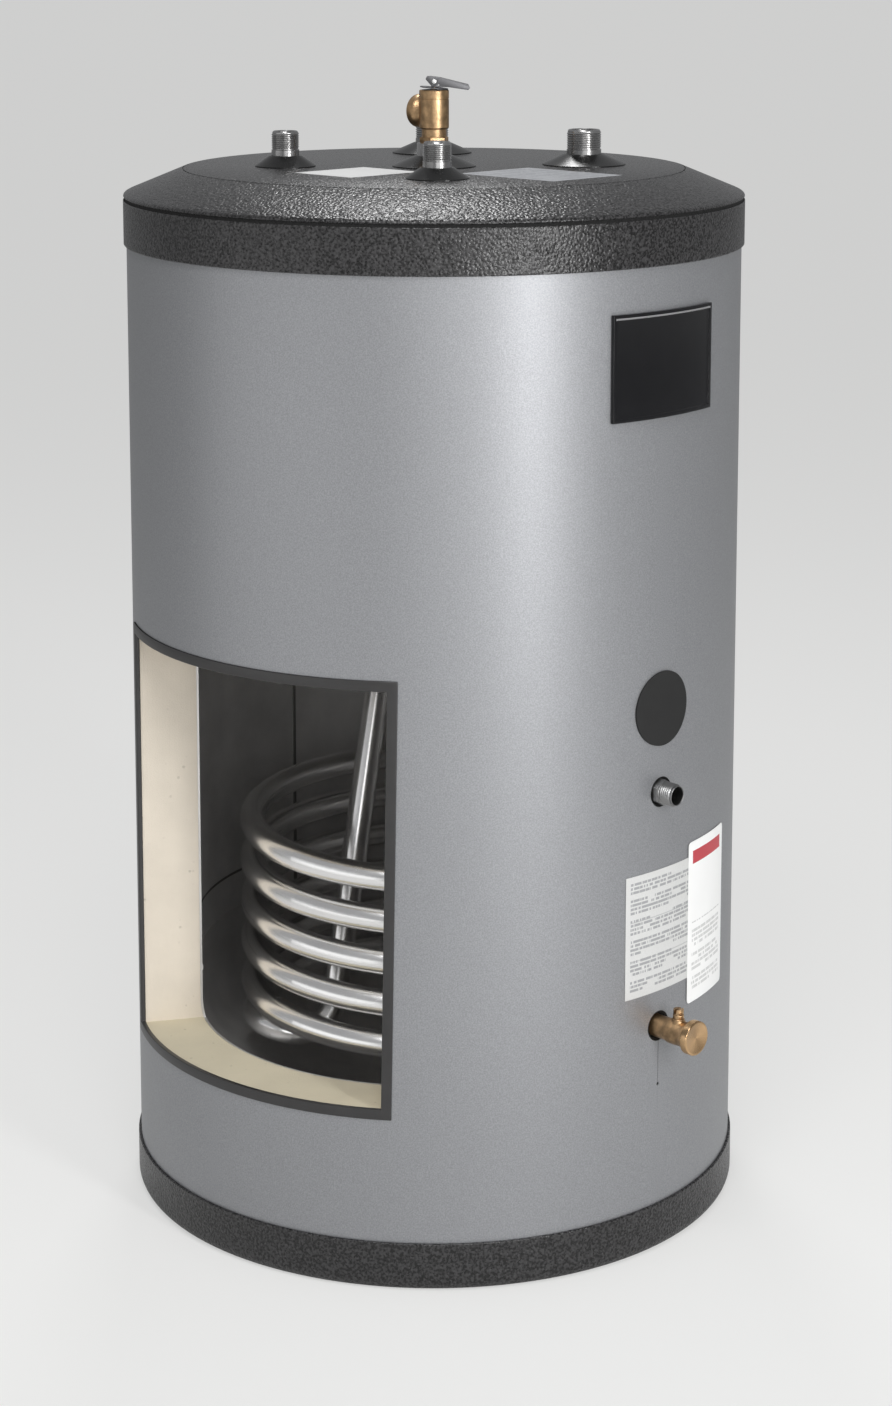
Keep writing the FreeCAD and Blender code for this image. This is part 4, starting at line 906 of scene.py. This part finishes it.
class HEATER_OT_relief_valve(bpy.types.Operator):
    """Relief valve with its side outlet, tilted cap disc and lever"""
    bl_idname = "heater.relief_valve"
    bl_label = "Relief valve"

    def execute(self, context):
        sizes = context.scene.heater_sizes
        steps = sizes.turning_steps
        brass = cast_brass(context.scene.heater_colours)
        barrel = turned("relief_barrel", [(radius, LID_TOP + height) for radius, height in (
            (13.1, 7.2), (13.1, 22.9), (11.9, 23.2), (11.9, 35.8), (12.3, 36.3), (13.7, 36.6), (14.3, 37.3),
            (14.3, 64.2), (13.8, 64.4), (13.8, 65.0), (14.3, 65.2), (14.3, 72.5), (13.6, 73.2))],
            steps, closed=False)
        across_flats = 25.0
        hexagon = rod("hexagon", across_flats / math.sqrt(3), LID_TOP + 22.8, LID_TOP + 28.2, 6)
        cut(barrel, rounded(hexagon, 0.6), "UNION")
        bell = turned("bell", [
            (10.5, 4.0), (11.6, 8.5), (12.8, 11.2), (14.5, 13.3), (15.5, 15.0), (15.9, 16.9), (15.9, 21.5),
            (15.5, 22.3), (14.9, 22.6)], steps, closed=False)
        cut(barrel, stand(bell, z=OUTLET_Z, turn=(-90, 0, 0)), "UNION")
        cut(barrel, rod("inlet", 9.0, LID_TOP, LID_TOP + 40))
        cut(barrel, rod("chamber", 11.8, LID_TOP + 39, LID_TOP + 80))
        for radius, start in ((12.1, 11.5), (8.0, 5.0)):
            cut(barrel, stand(rod("bore", radius, start, 30), z=OUTLET_Z, turn=(-90, 0, 0)))
        settle(smooth(barrel, 30.0), HEATER, "brass", brass, "relief_valve_body")
        pressed = metal("pressed stainless sheet", (0.16, 0.16, 0.165), 0.5)
        self.disc(steps, pressed)
        lever = eased("stamped_lever", "relief_lever", 0.35)
        settle(lever, "relief_lever", "polished_steel", pressed, "relief_lever")
        pin_steel = metal("bright pin steel", (0.70, 0.70, 0.69), 0.25)
        pin = eased("lever_pin", "relief_lever_pin", 0.6, 3)
        settle(pin, "relief_stem", "polished_steel", pin_steel, "relief_lever_pin")
        coat(brass, "relief_valve_stem")
        self.spring()
        return {"FINISHED"}

    def spring(self):
        """Wound spring: a rounded copy of the CAD spring, with a mesh of its own."""
        wound = eased("wound_spring", "relief_valve_spring", 0.05, 1, 80.0)
        settle(wound, HEATER, "steel", metal("spring steel", (0.42, 0.42, 0.42), 0.4), "relief_valve_spring")
        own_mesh(wound)

    def disc(self, steps, finish):
        """Thin cap disc that rests on one side of the barrel's rim, over its plug."""
        plug = turned("cap_disc", [(radius, LID_TOP + height) for radius, height in (
            (3.0, 69.3), (11.6, 69.3), (11.6, 73.4), (3.0, 73.4))], steps)
        disc = turned("disc", [
            (3.0, 0.0), (13.2, 0.0), (13.6, 0.3), (13.6, 0.8), (13.2, 1.1), (11.5, 1.1), (10.8, 0.9),
            (6.0, 1.1), (3.0, 1.1)], steps)
        tilt = 5.5
        lift = LID_TOP + 73.25 + 13.6 * math.sin(math.radians(tilt))
        stand(disc, turn=(0, tilt, 0))
        stand(disc, z=lift, turn=(0, 0, -45))
        united(plug, disc)
        settle(smooth(plug), HEATER, "polished_steel", finish, "relief_valve_bonnet")


class HEATER_OT_drain_valve(bpy.types.Operator):
    """Cast drain valve with its slotted stem and screw cap"""
    bl_idname = "heater.drain_valve"
    bl_label = "Drain valve"

    def execute(self, context):
        sizes = context.scene.heater_sizes
        colours = context.scene.heater_colours
        steps = sizes.turning_steps
        brass = cast_brass(colours)
        axis = middle_height(*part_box("drain_cap"))
        stem_low, stem_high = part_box("drain_valve_stem")
        stem_out = -(stem_low.y + stem_high.y) / 2 / MM
        ball_seat = 9.1
        body = turned("drain_body", [(radius, JACKET_R + out) for radius, out in (
            (10.65, -45.5), (10.65, -9.0), (11.8, -8.7), (11.9, -6.4), (10.9, -5.8), (10.5, -4.0),
            (10.4, 5.0), (10.7, 12.5), (11.3, 14.8), (11.8, 17.5), (11.9, 24.4), (11.7, 31.0), (12.1, 34.0),
            (13.0, 35.6), (13.3, 36.6), (13.3, 42.2), (12.9, 42.7))], steps, closed=False)
        stand(body, z=axis, turn=(90, 0, 0))
        boss = turned("boss", [
            (8.0, 3.0), (7.4, 9.0), (6.3, 11.6), (5.8, 12.6), (5.8, 13.6), (5.5, 14.0)], steps, closed=False)
        cut(body, stand(boss, y=-stem_out, z=axis), "UNION")
        cut(body, stand(rod("bore", 6.5, JACKET_R - 46, JACKET_R + 43), z=axis, turn=(90, 0, 0)))
        cut(body, stand(rod("stem_hole", 3.5, 5, 15), y=-stem_out, z=axis))
        clear_selection()
        bpy.ops.mesh.primitive_uv_sphere_add(segments=48, ring_count=24, radius=ball_seat * MM,
                                             location=(0, -stem_out * MM, axis * MM))
        cut(body, bpy.context.object)
        settle(smooth(body, 30.0), HEATER, "brass", brass, "drain_valve_body")
        nut = eased("stem_nut", "drain_packing_nut", 0.4)
        settle(nut, HEATER, "brass", brass, "drain_packing_nut")
        stem = eased("slotted_stem", "drain_valve_stem", 0.35)
        settle(stem, "drain_stem", "brass", brass, "drain_valve_stem")
        cap = turned("screw_cap", [(radius, JACKET_R + out) for radius, out in (
            (13.8, 44.6), (13.8, 39.8), (14.2, 39.3), (15.7, 39.3), (16.2, 39.9), (16.2, 45.8), (15.9, 46.5),
            (15.2, 46.9), (14.2, 46.9), (13.6, 46.7), (0.5, 45.7))], steps, closed=False)
        stand(cap, z=axis, turn=(90, 0, 0))
        settle(smooth(cap, 30.0), "cap", "brass", turned_brass(colours, axis * MM), "drain_cap")
        return {"FINISHED"}


class HEATER_OT_labels(bpy.types.Operator):
    """Badge plate and labels, all without words"""
    bl_idname = "heater.labels"
    bl_label = "Badge and labels"

    def execute(self, context):
        plastic = badge_plastic(*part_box("badge"))
        settle(eased("badge_plate", "badge", 0.7, 3), HEATER, "gloss_black", plastic, "badge")
        red = (0.50, 0.035, 0.05, 1.0)
        for name, make, edges, extra in (
                ("data_label", silver_label, DATA_LABEL_EDGES, {}),
                ("side_label", white_label, SIDE_LABEL_EDGES, {"band_colour": red}),
                ("silver_top_label", silver_label, None, {"tone": (0.42, 0.43, 0.45), "jacket": False}),
                ("white_top_label", white_label, None, {"jacket": False})):
            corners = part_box(name)
            if edges:
                corners = [(math.radians(edge) * JACKET_R * MM, at.z) for edge, at in zip(edges, corners)]
            coat(make(name.replace("_", " ") + " print", *corners, **extra), name)
        return {"FINISHED"}


OPERATORS = (HEATER_OT_stage, HEATER_OT_casing, HEATER_OT_metalwork, HEATER_OT_ports, HEATER_OT_relief_valve,
             HEATER_OT_drain_valve, HEATER_OT_labels)
GROUPS = {"heater_sizes": HeaterSizes, "heater_colours": HeaterColours, "heater_stage": StageSettings}


class HEATER_PT_pieces(bpy.types.Panel):
    """Lists the heater's steps and values in the sidebar"""
    bl_idname = "HEATER_PT_pieces"
    bl_label = "Water heater"
    bl_space_type = "VIEW_3D"
    bl_region_type = "UI"
    bl_category = "Heater"

    def draw(self, context):
        for operator in OPERATORS:
            self.layout.operator(operator.bl_idname)
        for group, kind in GROUPS.items():
            for name in kind.__annotations__:
                self.layout.prop(getattr(context.scene, group), name)


def register():
    for kind in (*GROUPS.values(), *OPERATORS, HEATER_PT_pieces):
        bpy.utils.register_class(kind)
    for name, kind in GROUPS.items():
        setattr(bpy.types.Scene, name, PointerProperty(type=kind))


def unregister():
    for name in GROUPS:
        delattr(bpy.types.Scene, name)
    for kind in (HEATER_PT_pieces, *reversed(OPERATORS), *GROUPS.values()):
        bpy.utils.unregister_class(kind)


def main():
    register()
    for operator in OPERATORS:
        group, name = operator.bl_idname.split(".")
        getattr(getattr(bpy.ops, group), name)()


if __name__ == "__main__":
    main()
